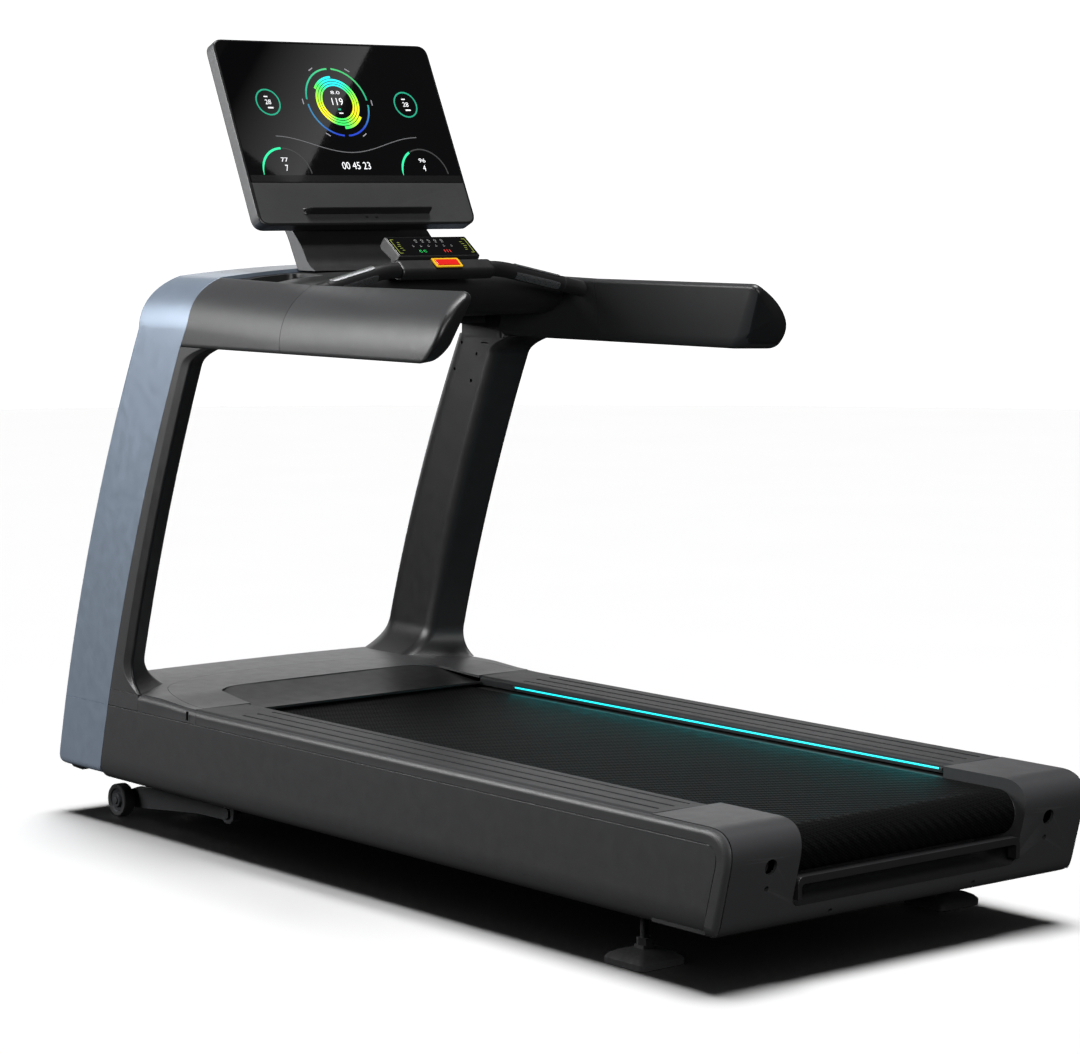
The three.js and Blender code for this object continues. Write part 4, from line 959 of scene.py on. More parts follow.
def metallic_cover():
    """One U-shaped cover: down both uprights and over the arch, with a rolled nose and a thin lip."""
    path = cover_path()
    rings = []
    for i, (px, pz) in enumerate(path):
        before, after = Vector(path[max(i - 1, 0)]), Vector(path[min(i + 1, len(path) - 1)])
        run = (after - before).normalized()
        out_x, out_z = run.y, -run.x
        front = edge_y(FRONT_EDGE, min(pz, 1085)) - 26 * max(0.0, (pz - 1085) / 108) ** 2
        front -= eased_corner(pz, FOOT_ROUND)
        roll = eased_corner(pz, FOOT_ROLL)
        rear = cover_rear(pz)
        corners = [
            (0, rear), (0, front + 1), (12, front + 3), (25, front - 10), (25, front - 22),
            (9, front - 14), (9, rear),
        ]
        ring = rounded(corners, [0.8, 6, 7, 2, 2, 6, 0.8], 6)
        rings.append([(px - out_x * (depth + roll), y, pz - out_z * (depth + roll)) for depth, y in ring])
    cover = mesh_of(loft(rings))
    grooves = [slab(x - 2.2, x + 2.2, 850, 1200, SEAM_Z - 0.5, SEAM_Z + 0.5) for x in (-456, 456)]
    return cut(cover, *grooves)


def arch_front():
    """The panel that closes the arch's front, between the two uprights and under the cover."""
    under = [(x * 0.972, z - 8) for x, z in cover_path() if z > FASCIA_TOP + 20]
    outline = [(442, FASCIA_TOP + 4), *under, (-442, FASCIA_TOP + 4)]
    return mesh_of(prism_y(outline, 728, 735))


def arm_section(y):
    """The arm's outline at a station: a bulging outer side that sinks a little towards the runner."""
    sink = min(1.0, max(0.0, (ARCH_REAR - y) / (ARCH_REAR - ARM_SEAM)))
    start = (HALF_WIDTH, SHOULDER_START[1] - 15 * sink)
    control = (SHOULDER_CONTROL[0], SHOULDER_CONTROL[1] - 19 * sink)
    end = (SHOULDER_END[0] + 2 * sink, SHOULDER_END[1] - 7 * sink)
    bulge = bezier(start, control, end, 14)
    corners = [(HALF_WIDTH, ARM_BOTTOM), start, *bulge, (360, end[1] - 7), (378, 1062), (388, ARM_BOTTOM)]
    return rounded(corners, [9, *[0] * 14, 7, 5, 14, 6], 6)


def arm_loft(stations):
    return mesh_of(loft([[(x, y, z) for x, z in arm_section(y)] for y in stations]))


def arm_cover():
    """The arm's front half, which runs on beside the metallic cover's rear edge down to the upright."""
    stations = [ARM_SEAM + HAIRLINE + (ARCH_REAR - ARM_SEAM) * i / 6 for i in range(7)] + [700]
    edge = [(cover_rear(z) - HAIRLINE, z) for z in range(1040, 1121, 4)]
    keep = [(200, 1030), *edge, (ARCH_REAR - HAIRLINE, 1260), (200, 1260)]
    return meet(arm_loft(stations), prism_x(keep, 340, 480))


ARM_TIP_ROUND = 20
ARM_MIDDLE = Vector((414, 1115))


def arm_tip(x, z):
    """Where the arm's rear end lies: furthest back at mid-height on the outside, at the top on the inside."""
    outer = -278 + 0.0079 * (z - 1128) ** 2
    inner = -262 + 0.0062 * (z - 1172) ** 2
    return inner + (outer - inner) * (x - 376) / 79


def handrail_end():
    """The arm's rear half, with a slanted end whose corners are rounded all the way round."""
    section = [Vector(p) for p in arm_section(ARM_REAR)]

    def ring(shrink, inset, behind):
        points = []
        for p in section:
            towards = ARM_MIDDLE - p
            q = p + towards.normalized() * inset
            q = ARM_MIDDLE + (q - ARM_MIDDLE) * shrink
            points.append((q.x, arm_tip(q.x, q.y) + behind, q.y))
        return points

    rings = [ring(share, ARM_TIP_ROUND, 0) for share in (0.05, 0.35, 0.7)]
    for step in range(8):
        turn = math.pi / 14 * step
        rings.append(ring(1, ARM_TIP_ROUND * (1 - math.sin(turn)), ARM_TIP_ROUND * (1 - math.cos(turn))))
    for y in (-120, 60, ARM_SEAM - HAIRLINE):
        rings.append([(p.x, y, p.y) for p in section])
    return mesh_of(loft(rings))


def recolor(mesh, material, test):
    """Give the faces that pass the test a second material."""
    mesh.materials.append(material)
    index = len(mesh.materials) - 1
    for polygon in mesh.polygons:
        if test(polygon):
            polygon.material_index = index


def upright_neck():
    """The upright's head, which closes the gap up to the arm and the arch."""
    plan = rounded([(377, 583), (442, 583), (442, 734), (377, 734)], [14, 2, 2, 14], 6)
    return mesh_of(prism_z(plan, 1046, 1102))


def upright_pair():
    shape = cut(upright(), *upright_slots())
    for side, mesh in (("right", shape), ("left", mirrored(shape))):
        obj = piece(f"{side}_upright_skin", mesh, CHARCOAL, slot="charcoal_shell",
                    replaces=[f"{side}_upright"], angle=40)
        # Every face but the outer side turns satin black: partly a black moulding, partly painted shade on
        # the inner face and the rear nose.
        recolor(obj.data, SOFT_BLACK, lambda face: abs(face.center.x) < (HALF_WIDTH - 0.5) * MM)


upright_pair()
pair("upright_neck", upright_neck(), SOFT_BLACK, slot="charcoal_shell", angle=40)
piece("metallic_arch", join(metallic_cover(), arch_front()), BLUE, slot="blue_fascia",
      replaces=["right_fascia", "left_fascia", "top_arch"], angle=35)
pair("arm_cover_skin", arm_cover(), CHARCOAL, ["arm_cover"], slot="charcoal_shell", edge=0.8)
# Faces that look backwards, on each arm's rear end, turn satin black: painted shade on the end face.
for arm in pair("handrail_skin", handrail_end(), CHARCOAL, ["handrail"], slot="charcoal_shell"):
    recolor(arm.data, SOFT_BLACK, lambda face: face.normal.y < -0.5)


# ---- Console ------------------------------------------------------------------------------------

TRAY = {"inner": 205, "outer": 330, "rear": 430, "front": 548, "floor": 1164}


def grown(outline, half_x, half_y, grow):
    """The outline with its half-widths grown by an amount."""
    scale_x, scale_y = (half_x + grow) / half_x, (half_y + grow) / half_y
    return [(x * scale_x, y * scale_y) for x, y in outline]


def swollen(outline, middle, share):
    """The outline scaled about a middle point."""
    return [middle + (Vector(p) - middle) * share for p in outline]


def housing():
    rings = []
    shoulder = [(361.5, 1150), (361.5, 1179), (300, 1193), (178, 1201.5), (0, 1203)]
    half = rounded(shoulder, [0, 8, 30, 60, 0], 6)[1:]
    columns = [*half, *[(-x, top) for x, top in reversed(half[:-1])]]
    for x, top in columns:
        section = [
            (577.4, top), (366, top - 2), (346, top - 22), (352, 1132), (400, 1106), (560, 1098), (600, 1108),
            (602, 1130), (577.4, 1160),
        ]
        rings.append([(x, y, z) for y, z in rounded(section, [0, 30, 16, 24, 40, 40, 8, 8, 0], 6)])
    body = mesh_of(loft(rings))
    wells = []
    for side in (-1, 1):
        middle = side * (TRAY["inner"] + TRAY["outer"]) / 2
        centre = (TRAY["rear"] + TRAY["front"]) / 2
        half_x = (TRAY["outer"] - TRAY["inner"]) / 2
        half_y = (TRAY["front"] - TRAY["rear"]) / 2
        outline = rectangle(half_x, half_y, 22, 8)
        rings = []
        floor = TRAY["floor"]
        for z, grow in ((floor, -6), (floor + 1.5, -2.5), (floor + 6, 0), (1230, 1.5)):
            wider = grown(outline, half_x, half_y, grow)
            rings.append([(middle + u, centre + v, z) for u, v in wider])
        wells.append(loft(rings))
    return cut(body, *wells)


def on_plane(origin, tilt):
    """A function that carries flat points (across, up, out) onto a plane tilted about x."""
    cosine, sine = math.cos(tilt), math.sin(tilt)

    def place(x, y, z=0.0):
        return (origin[0] + x, origin[1] + y * cosine - z * sine, origin[2] + y * sine + z * cosine)

    return place


def lifted(place, shape):
    points, faces = shape
    return [place(*p) for p in points], faces


DISPLAY_TILT = math.radians(65.2)
on_display = on_plane((0, 554, 1300), DISPLAY_TILT)
DISPLAY_HEIGHT = 431
DISPLAY_DEPTH = 38
BAND_TOP = 99
SCREEN_LOW = 115


def display_half(y):
    return 286.5 - 2.5 * y / DISPLAY_HEIGHT


def display_ring(edge, z, low=0.0, low_reach=26.0, steps=8):
    top, bottom = DISPLAY_HEIGHT - edge, low + edge
    right_top, right_low = display_half(top) - edge, display_half(bottom) - edge
    corners = [(right_low, bottom), (right_top, top), (-right_top, top), (-right_low, bottom)]
    reach = max(26.0 - edge * 0.8, 4.0)
    return [(x, y, z) for x, y in rounded(corners, [low_reach, reach, reach, low_reach], steps)]


def display_shell():
    levels = ((3.4, 0), (1.6, -0.5), (0.5, -1.6), (0, -3.4), (0, -29), (1.2, -31), (15, -35), (34, -37.4),
              (40, -DISPLAY_DEPTH))
    rings = [display_ring(edge, z) for edge, z in levels]
    shell = mesh_of(lifted(on_display, loft(rings)))
    seat = [display_ring(4.2, z, BAND_TOP - 5, 1) for z in (-4, 6)]
    return cut(shell, lifted(on_display, loft(seat)))


def display_band():
    """The grey plate below the screen, with two small sockets and a fine upright seam."""
    top = BAND_TOP - 3
    rings = []
    for z, inset in ((-2, 0), (0.5, 0), (1.1, 0.7)):
        low, half = 4 + inset, display_half(0) - 6.5 - inset
        corners = [(-half, low), (half, low), (half - 1.5, top - inset), (1.5 - half, top - inset)]
        rings.append([(x, y, z) for x, y in rounded(corners, [20, 20, 1, 1], 8)])
    plate = mesh_of(lifted(on_display, loft(rings)))
    port = loft([[(x, y, z) for x, y in rectangle(3.6, 2.2, 1.2, 3)] for z in (-8, 8)])
    places = ((-7.6, 17), (17.6, 16))
    ports = [lifted(lambda x, y, z, at=at: on_display(x + at[0], y + at[1], z), port) for at in places]
    seam = lifted(on_display, slab(-53.3, -52.7, 4.5, 22, 0.4, 5))
    return cut(plate, *ports, seam)


def display_glass():
    rings = [display_ring(4.8, z, BAND_TOP - 5, 1) for z in (-3.8, -1.2)]
    rings += [display_ring(5.2, -0.7, BAND_TOP - 5, 1), display_ring(6.2, -0.4, BAND_TOP - 5, 1)]
    return mesh_of(lifted(on_display, loft(rings)))


def display_ledge():
    """The wedge shelf below the screen, which stands out most along its upper edge."""
    rings = []
    stations = (
        (-168, 0.05), (-164, 0.35), (-156, 0.96), (-152, 1), (0, 1), (156, 1), (160, 0.97), (162, 0.9),
    )
    for x, reach in stations:
        out = 17 * reach
        corners = [(24, -1), (24, 2), (31, out), (34.5, out), (38, 2), (38, -1)]
        rings.append([on_display(x, y, z) for y, z in rounded(corners, [0, 1, 2, 2, 1, 0], 4)])
    return mesh_of(loft(rings))


FLAT_GRAPHIC = 0.12


def arc_shape(centre, radius, width, start, end, taper=False):
    """A flat arc on the screen; angles in degrees from across, towards up."""
    steps = max(6, int(abs(end - start) / 3))
    rings = []
    for step in range(steps + 1):
        t = step / steps
        angle = math.radians(start + (end - start) * t)
        half = width / 2 * (max(0.25, math.sin(math.pi * min(0.5, t + 0.08))) if taper else 1)
        ring = []
        for side, z in ((-1, 0), (1, 0), (1, FLAT_GRAPHIC), (-1, FLAT_GRAPHIC)):
            reach = radius + side * half
            ring.append((centre[0] + reach * math.cos(angle), centre[1] + reach * math.sin(angle), z))
        rings.append(ring)
    return loft(rings)


def bar_shape(x, y, length, width, turn=0.0):
    angle = math.radians(turn)
    along, across = Vector((math.cos(angle), math.sin(angle))), Vector((-math.sin(angle), math.cos(angle)))
    corners = [Vector((x, y)) + along * (u * length / 2) + across * (v * width / 2)
               for u, v in ((-1, -1), (1, -1), (1, 1), (-1, 1))]
    return prism_z(rounded([tuple(c) for c in corners], min(length, width) * 0.3, 3), 0, FLAT_GRAPHIC)


def line_shape(points, width):
    rings = []
    for i, p in enumerate(points):
        before, after = Vector(points[max(i - 1, 0)]), Vector(points[min(i + 1, len(points) - 1)])
        across = (after - before).orthogonal().normalized() * width / 2
        a, b = Vector(p) - across, Vector(p) + across
        rings.append([(*a, 0), (*b, 0), (*b, FLAT_GRAPHIC), (*a, FLAT_GRAPHIC)])
    return loft(rings)


def digits(text, x, y, height, width=None):
    """Flat numerals centred at a point, drawn with Blender's own font."""
    curve = bpy.data.curves.new("numerals", "FONT")
    curve.body = text
    curve.align_x, curve.align_y = "CENTER", "CENTER"
    curve.size = height * 1.4
    curve.extrude = FLAT_GRAPHIC / 2
    curve.resolution_u = 3
    holder = bpy.data.objects.new("numerals", curve)
    bpy.context.scene.collection.objects.link(holder)
    mesh = bpy.data.meshes.new_from_object(holder.evaluated_get(bpy.context.evaluated_depsgraph_get()))
    bpy.data.objects.remove(holder)
    spans = [[v.co[axis] for v in mesh.vertices] for axis in (0, 1)]
    size = [max(s) - min(s) for s in spans]
    middle = [(max(s) + min(s)) / 2 for s in spans]
    stretch = (width / size[0]) if width else height / size[1]
    points = []
    for vertex in mesh.vertices:
        across, up, out = vertex.co
        across, up = (across - middle[0]) * stretch, (up - middle[1]) * height / size[1]
        points.append((x + across, y + up, out + FLAT_GRAPHIC / 2))
    faces = [tuple(p.vertices) for p in mesh.polygons]
    bpy.data.meshes.remove(mesh)
    return points, faces


def graphic(name, shapes, material, place=on_display, lift=-0.38):
    raised = [lifted(lambda x, y, z: place(x, y, z + lift), shape) for shape in shapes]
    mesh = mesh_of(*raised)
    return piece(name, mesh, material, slot="display_glass")


def swept_colors(name, stops, strength, centre_point):
    """A lit ring whose colour runs round its own centre."""
    f = Finish(name, (0.02, 0.3, 0.1), 0.3)
    origin = metres(centre_point)
    shifted = f.node("Mapping", Location=tuple(-c for c in origin))
    f.link(f.place, shifted.inputs["Vector"])
    turned = f.node("Mapping", Rotation=(math.pi - DISPLAY_TILT, 0, 0), Scale=(-1, 1, 1))
    f.link(shifted.outputs["Vector"], turned.inputs["Vector"])
    round_it = f.node("TexGradient", {"gradient_type": "RADIAL"})
    f.link(turned.outputs["Vector"], round_it.inputs["Vector"])
    ramp = f.node("ValToRGB")
    f.link(round_it.outputs["Fac"], ramp.inputs["Fac"])
    elements = ramp.color_ramp.elements
    while len(elements) < len(stops):
        elements.new(0.5)
    for element, (position, color) in zip(elements, stops):
        element.position = position
        element.color = (*color, 1)
    f.paint(ramp.outputs["Color"])
    f.link(ramp.outputs["Color"], f.shader.inputs["Emission Color"])
    f.shader.inputs["Emission Strength"].default_value = strength
    return f.material


CYAN = (0.02, 0.75, 0.78)
TEAL = (0.01, 0.42, 0.25)
GREEN = (0.05, 0.75, 0.12)
LIME = (0.45, 0.85, 0.02)
YELLOW = (0.95, 0.72, 0.02)
INDIGO = (0.02, 0.06, 0.55)
STEEL_BLUE = (0.05, 0.22, 0.42)
RINGS = (0, 288)
RING_STOPS = [
    (0.0, LIME), (0.1, GREEN), (0.2, CYAN), (0.3, CYAN), (0.38, GREEN), (0.5, LIME), (0.6, YELLOW),
    (0.7, GREEN), (0.78, GREEN), (0.86, LIME), (0.93, YELLOW), (1.0, LIME),
]
OUTER_STOPS = [
    (0.0, TEAL), (0.1, (0.06, 0.5, 0.16)), (0.25, (0.08, 0.6, 0.2)), (0.4, (0.04, 0.5, 0.28)),
    (0.5, (0.02, 0.34, 0.24)), (0.52, STEEL_BLUE), (0.6, STEEL_BLUE), (0.7, INDIGO), (0.85, INDIGO),
    (0.95, STEEL_BLUE), (1.0, TEAL),
]

WHITE_GLOW = lit("screen_white", (0.85, 0.86, 0.88), 0.6)
GREY_GLOW = lit("screen_grey", (0.32, 0.31, 0.34), 0.5)
FAINT_GLOW = lit("screen_faint", (0.055, 0.055, 0.057), 0.35)
TEAL_GLOW = lit("screen_teal", (0.02, 0.34, 0.2), 0.5)
GREEN_GLOW = lit("screen_green", (0.03, 0.62, 0.28), 0.9)
LINE_GLOW = lit("screen_line", (0.16, 0.16, 0.17), 0.3)
BAND_BLACK = glossy("screen_lower_band", (0.011, 0.011, 0.0115), 0.2)
RING_GLOW = swept_colors("screen_rings", RING_STOPS, 0.8, on_display(*RINGS))
OUTER_GLOW = swept_colors("screen_outer_ring", OUTER_STOPS, 0.4, on_display(*RINGS))
GLYPH_RED = lit("glyph_red", (0.6, 0.03, 0.02), 0.2)
GLYPH_GREEN = lit("glyph_olive", (0.28, 0.33, 0.05), 0.15)
GLYPH_GO = lit("glyph_go", (0.02, 0.5, 0.1), 0.25)
GLYPH_WHITE = lit("glyph_white", (0.3, 0.3, 0.3), 0.12)
EDGE_GREY = moulded("satin_grey_edge", (0.075, 0.077, 0.08), 0.42)
BAND_GREY = moulded("satin_dark_grey", (0.042, 0.0425, 0.043), 0.45)


def display():
    shell = piece("display_shell_skin", display_shell(), SOFT_BLACK, slot="black_shell",
                  replaces=["display_shell"], angle=28)
    recolor(shell.data, EDGE_GREY, lambda face: abs(face.normal.x) > 0.9)
    piece("display_band", display_band(), BAND_GREY, slot="black_shell", angle=28)
    piece("display_cover", display_glass(), GLASS, slot="display_glass", replaces=["display_glass"], angle=28)
    piece("display_ledge", display_ledge(), SOFT_BLACK, slot="black_shell")
    low = prism_z([(-278, BAND_TOP + 0.5), (278, BAND_TOP + 0.5), (277.6, SCREEN_LOW), (-277.6, SCREEN_LOW)],
                  0, FLAT_GRAPHIC)
    graphic("screen_lower_band", [low], BAND_BLACK)
    outer = [arc_shape(RINGS, 79.4, 4.0, start + 4, start + 86) for start in (0, 90, 180, 270)]
    graphic("screen_outer_ring", outer, OUTER_GLOW)
    bands = (
        (53.0, 4.8, 0, 360), (46.6, 4.4, 0, 360), (40.6, 4.0, 0, 360),
        (59.4, 5.4, 92, 148), (60.4, 6.4, 272, 326),
    )
    rings = [arc_shape(RINGS, *band) for band in bands]
    graphic("screen_rings", rings, RING_GLOW)
    ticks = []
    for turn in (0, 58, 122, 180, 238, 302):
        angle = math.radians(turn)
        x, y = RINGS[0] + 91 * math.cos(angle), RINGS[1] + 91 * math.sin(angle)
        ticks.append(bar_shape(x, y, 13, 2.2, turn + 90))
    graphic("screen_ticks", ticks, GREY_GLOW)
    small = [arc_shape((side * 182, 285), 29.4, 3.4, 0, 360) for side in (-1, 1)]
    graphic("screen_small_rings", small, TEAL_GLOW)
    left, right = (-180, 116), (184.5, 116)
    gauges = [arc_shape(left, 61.5, 5.0, 180, 92, True), arc_shape(right, 61.5, 5.0, 180, 119, True)]
    graphic("screen_gauges", gauges, GREEN_GLOW)
    rest = [arc_shape(left, 61.5, 3.0, 90, 3), arc_shape(right, 61.5, 3.0, 117, 3)]
    graphic("screen_gauge_tracks", rest, FAINT_GLOW)
    valley = []
    for step in range(33):
        x = -186 + 372 * step / 32
        valley.append((x, 169 + 37 * math.sin(math.pi / 2 * min(1.0, abs(x) / 190)) ** 2))
    graphic("screen_line", [line_shape(valley, 1.8)], LINE_GLOW)
    marks = [
        digits("119", 0, 289.5, 17, 29), digits("8.0", 0, 311, 7.5, 24), bar_shape(2, 262, 11, 2.6),
        digits("00 45 23", 3.5, 138, 17, 75),
        digits("77", -180, 151, 9.5, 18), digits("7", -179, 132, 14, 7.5),
        digits("96", 184, 151, 9.5, 18), digits("4", 185, 133, 14, 7.5),
    ]
    for side in (-1, 1):
        marks += [bar_shape(side * 182 - 3, 298, 10, 2.6), digits("28", side * 182, 285.5, 11, 15),
                  bar_shape(side * 182 + 3, 272, 14, 3.4)]
    graphic("screen_numerals", marks, WHITE_GLOW)
    graphic("screen_marks", [bar_shape(0, 271, 8, 4.2)], TEAL_GLOW)


def post():
    side = [
        (512, 1204.5), (538, 1219), (556, 1250), (577, 1272), (596, 1290), (653, 1404), (682, 1398),
        (690, 1378), (640, 1310), (611, 1274), (591, 1235), (574, 1204.5),
    ]
    body = mesh_of(prism_x(rounded(side, [1, 16, 16, 8, 4, 2, 6, 6, 20, 20, 20, 2], 6), -178, 178))
    waist = [slab(end * 165 - 45, end * 165 + 45, 500, 720, 1296, 1420) for end in (-1, 1)]
    return cut(body, *waist)


BAR_Y, BAR_Z, BAR_RADIUS = 303, 1209, 16.5
BAR_START, BAR_BEND, BAR_END = (119, BAR_Y, BAR_Z), (150, BAR_Y, BAR_Z), (362, 284.5, 1162)


def bar_path():
    start, bend, end = Vector(BAR_START), Vector(BAR_BEND), Vector(BAR_END)
    before, after = bend.lerp(start, 0.9), bend.lerp(end, 0.14)
    curve = [before, *bezier(before, bend, after, 10)]
    straight = [after.lerp(end, i / 6) for i in range(1, 7)]
    return [tuple(p) for p in [start, *curve, *straight]]


def around_bar(start, end, inner, outer, facing, spread, crown_steps=14):
    """A curved plate on the bar between two shares of its straight run."""
    a = Vector(BAR_BEND).lerp(Vector(BAR_END), start)
    b = Vector(BAR_BEND).lerp(Vector(BAR_END), end)
    along = (b - a).normalized()
    face = Vector(facing)
    face = (face - along * face.dot(along)).normalized()
    third = along.cross(face)
    length = (b - a).length
    rings = []
    for step in range(13):
        t = step / 12
        ends = min(1.0, min(t, 1 - t) * length / 6)
        half = spread * (1 - 0.16 * (1 - math.sqrt(max(0.0, 1 - (1 - ends) ** 2))))
        centre = a.lerp(b, t)
        ring = []
        for radius, order in ((outer, 1), (inner, -1)):
            for k in range(crown_steps + 1):
                angle = order * (-half + 2 * half * k / crown_steps)
                ring.append(tuple(centre + (face * math.cos(angle) + third * math.sin(angle)) * radius))
        rings.append(ring)
    return mesh_of(loft(rings))


on_stop = on_plane((0, 291, 1222.6), math.radians(38.5))


def hub():
    side = [(281, 1197), (279, 1210), (302, 1231), (316, 1226), (323, 1208), (312, 1190), (295, 1188)]
    rings = []
    outline = rounded(side, [5, 6, 8, 8, 9, 9, 6], 6)
    half = [(114, 1.0), (117, 0.985), (118.6, 0.96), (119.5, 0.93)]
    for x, share in [*[(-x, share) for x, share in reversed(half)], *half]:
        rings.append([(x, *p) for p in swollen(outline, Vector((BAR_Y, BAR_Z)), share)])
    body = mesh_of(loft(rings))
    pocket = lifted(on_stop, slab(-29.5, 29.5, -10, 10, -11, 12))
    return cut(body, pocket)



def plate_with_window(half_x, half_y, reach, window, z_levels):
    """A thin frame with a softened top edge round a rectangular window."""
    outline = rectangle(half_x, half_y, reach)
    outer = [[(x, y, z) for x, y in grown(outline, half_x, half_y, -inset)] for z, inset in z_levels]
    opening = slab(-window[0], window[0], -window[1], window[1], -12, 12)
    return cut(mesh_of(lifted(on_stop, loft(outer))), lifted(on_stop, opening))


def stop_button():
    rings = []
    for z, half_x, half_y in ((-6, 28.6, 9.0), (2.4, 28.6, 9.0), (3.3, 28.0, 8.4), (3.7, 26.8, 7.2)):
        rings.append([on_stop(x, y, z) for x, y in rectangle(half_x, half_y, 3, 5)])
    return mesh_of(loft(rings))


KEY_TILT = math.atan2(39, 52.5)
on_keypad = on_plane((0, 340.4, 1256.6), KEY_TILT)


def keypad_body():
    side = [(-33, 0), (-35, -9), (-24, -21), (30, -27), (35, -20), (33, 0)]
    rings = []
    outline = rounded(side, [2.2, 4, 7, 6, 5, 2.2], 6)
    for x, share in ((-106.5, 0.9), (-105.8, 0.96), (-104, 1.0), (104, 1.0), (105.8, 0.96), (106.5, 0.9)):
        rings.append([on_keypad(x, *p) for p in swollen(outline, Vector((0, -12)), share)])
    stalk = [(362, 1203.5), (392, 1203.5), (392, 1226), (378, 1252), (362, 1246)]
    return join(mesh_of(loft(rings)), mesh_of(prism_x(rounded(stalk, [0, 0, 8, 3, 2], 5), -70, 70)))


def keypad_film():
    rings = []
    for z, inset in ((-0.3, 0), (0.5, 0), (0.8, 0.6)):
        outline = grown(rectangle(103, 30.5, 3, 5), 103, 30.5, -inset)
        rings.append([on_keypad(x, y, z) for x, y in outline])
    return mesh_of(loft(rings))


def keypad():
    piece("keypad_housing_skin", keypad_body(), SOFT_BLACK, slot="black_shell",
          replaces=["keypad_housing"], angle=32)
    piece("keypad_film", keypad_film(), GLASS, slot="display_glass", angle=32)

    def glyphs(name, shapes, material):
        graphic(name, shapes, material, on_keypad, 0.82)

    rows = []
    for column in range(5):
        x = -34 + column * 17
        rows += [arc_shape((x, 19), 2.6, 0.9, 0, 360), bar_shape(x, 13, 5, 1.1)]
    for column in range(6):
        x = -50 + column * 20
        rows += [bar_shape(x, -1, 4.5, 1.4), bar_shape(x, 3, 2.6, 1.1)]
    glyphs("keypad_marks", rows, GLYPH_WHITE)
    green = [arc_shape((x, -17), 3.4, 1.5, 30, 330) for x in (-40, -29)]
    red = [bar_shape(x, -17, 2.2, 9) for x in (22, 29, 36)]
    glyphs("keypad_start_marks", green, GLYPH_GO)
    glyphs("keypad_stop_marks", red, GLYPH_RED)
    steps = []
    for side in (-1, 1):
        steps += [bar_shape(side * (86 - abs(k) * 2), k * 6.5, 8 - abs(k), 1.3) for k in (-2, -1, 0, 1, 2)]
    glyphs("keypad_step_marks", steps, GLYPH_GREEN)
    brackets = []
    for side in (-1, 1):
        x = side * 97
        ends = [bar_shape(x - side * 4, y, 8, 1.4) for y in (22.5, -22.5)]
        brackets += [bar_shape(x, 0, 1.4, 46), *ends]
    glyphs("keypad_brackets", brackets, GLYPH_GREEN)


def console():
    piece("console_housing_skin", housing(), SOFT_BLACK, slot="black_shell",
          replaces=["console_housing"], angle=35)
    column = piece("display_post_skin", post(), SOFT_BLACK, slot="black_shell",
                   replaces=["display_post"], edge=1.2)
    recolor(column.data, EDGE_GREY, lambda face: abs(face.normal.x) > 0.9)
    display()
    keypad()
    bar = mesh_of(tube(bar_path(), BAR_RADIUS, 40))
    pair("handlebar_skin", bar, SOFT_BLACK, ["handlebar"], slot="black_shell")
    up, down = (0, -0.25, 0.97), (0, -0.85, -0.5)
    plate, lower = [around_bar(0.16, 0.68, 16.7, 18.0, facing, 0.5) for facing in (up, down)]
    pair("pulse_plate_skin", plate, STEEL_X, ["pulse_plate"], slot="brushed_steel")
    pair("pulse_plate_lower", lower, STEEL_X, slot="brushed_steel")
    pair("bar_seam_ring", around_bar(0.735, 0.75, 16.3, 17.1, up, math.pi * 0.999), RUBBER, slot="rubber")
    piece("handlebar_hub_skin", hub(), SOFT_BLACK, slot="black_shell", replaces=["handlebar_hub"], angle=35)
    bezel = plate_with_window(35, 14, 4, (29.4, 9.8), ((0, 0), (1.8, 0), (2.5, 0.7)))
    piece("stop_bezel_skin", bezel, STOP_YELLOW, slot="stop_yellow", replaces=["stop_bezel"], angle=35)
    piece("stop_button_skin", stop_button(), STOP_RED, "stop_button", "stop_red", ["stop_button"], angle=35)


console()


# ---- Feet and wheels ----------------------------------------------------------------------------

FOOT_X, FOOT_Y = 381, -775
WHEEL = {"x": 376, "y": 985, "z": 36}


def around_foot(radius, sides):
    turns = [math.tau * k / sides for k in range(sides)]
    return [(FOOT_X + radius * math.cos(t), FOOT_Y + radius * math.sin(t)) for t in turns]


def levelling_foot():
    """A square domed pad that rises to the nut, and the screw above it."""
    dome = (0, 51), (1.2, 53), (12, 53.5), (14, 52.4), (20, 46.5), (25, 36), (28.5, 24), (30, 14), (36, 13.5)
    rings = []
    for z, half in dome:
        rings.append([(FOOT_X + u, FOOT_Y + v, z) for u, v in rectangle(half, half, half * 0.22, 6)])
    pitch = 1.25
    stem = []
    for turn in range(130):
        thread = around_foot(8.0 if turn % 2 else 7.1, 28)
        stem.append([(x, y, 34 + turn * pitch) for x, y in thread])
    return mesh_of(loft(rings), prism_z(around_foot(15, 6), 36, 48), loft(stem))


def wheel_part(profile, sides):
    """A ring of (radius, x) points turned about the wheel's axle."""
    return mesh_of(turned_x([(r, x + WHEEL["x"]) for r, x in profile], WHEEL["y"], WHEEL["z"], sides))


def wheel_tyre():
    half = [(26, -12), (31, -13.6), (34, -13.2), (35.6, -11), (36, -7)]
    return wheel_part(half + [(r, -x) for r, x in reversed(half)], 72)


def wheel_centre():
    half = [(8, -14), (14, -14), (15.5, -12.5), (17, -9), (24, -9.5), (26, -12)]
    return wheel_part(half + [(r, -x) for r, x in reversed(half)], 64)


feet, wheels = ("right_foot", "left_foot"), ("right_wheel", "left_wheel")
pair("levelling_foot_skin", levelling_foot(), RUBBER, ["levelling_foot"], feet, slot="rubber")
pair("wheel_tyre", wheel_tyre(), RUBBER, ["wheel"], wheels, slot="rubber")
pair("wheel_centre", wheel_centre(), WHEEL_HUB, (), wheels, slot="bare_metal")


# ---- CAD nodes that keep their shape ------------------------------------------------------------

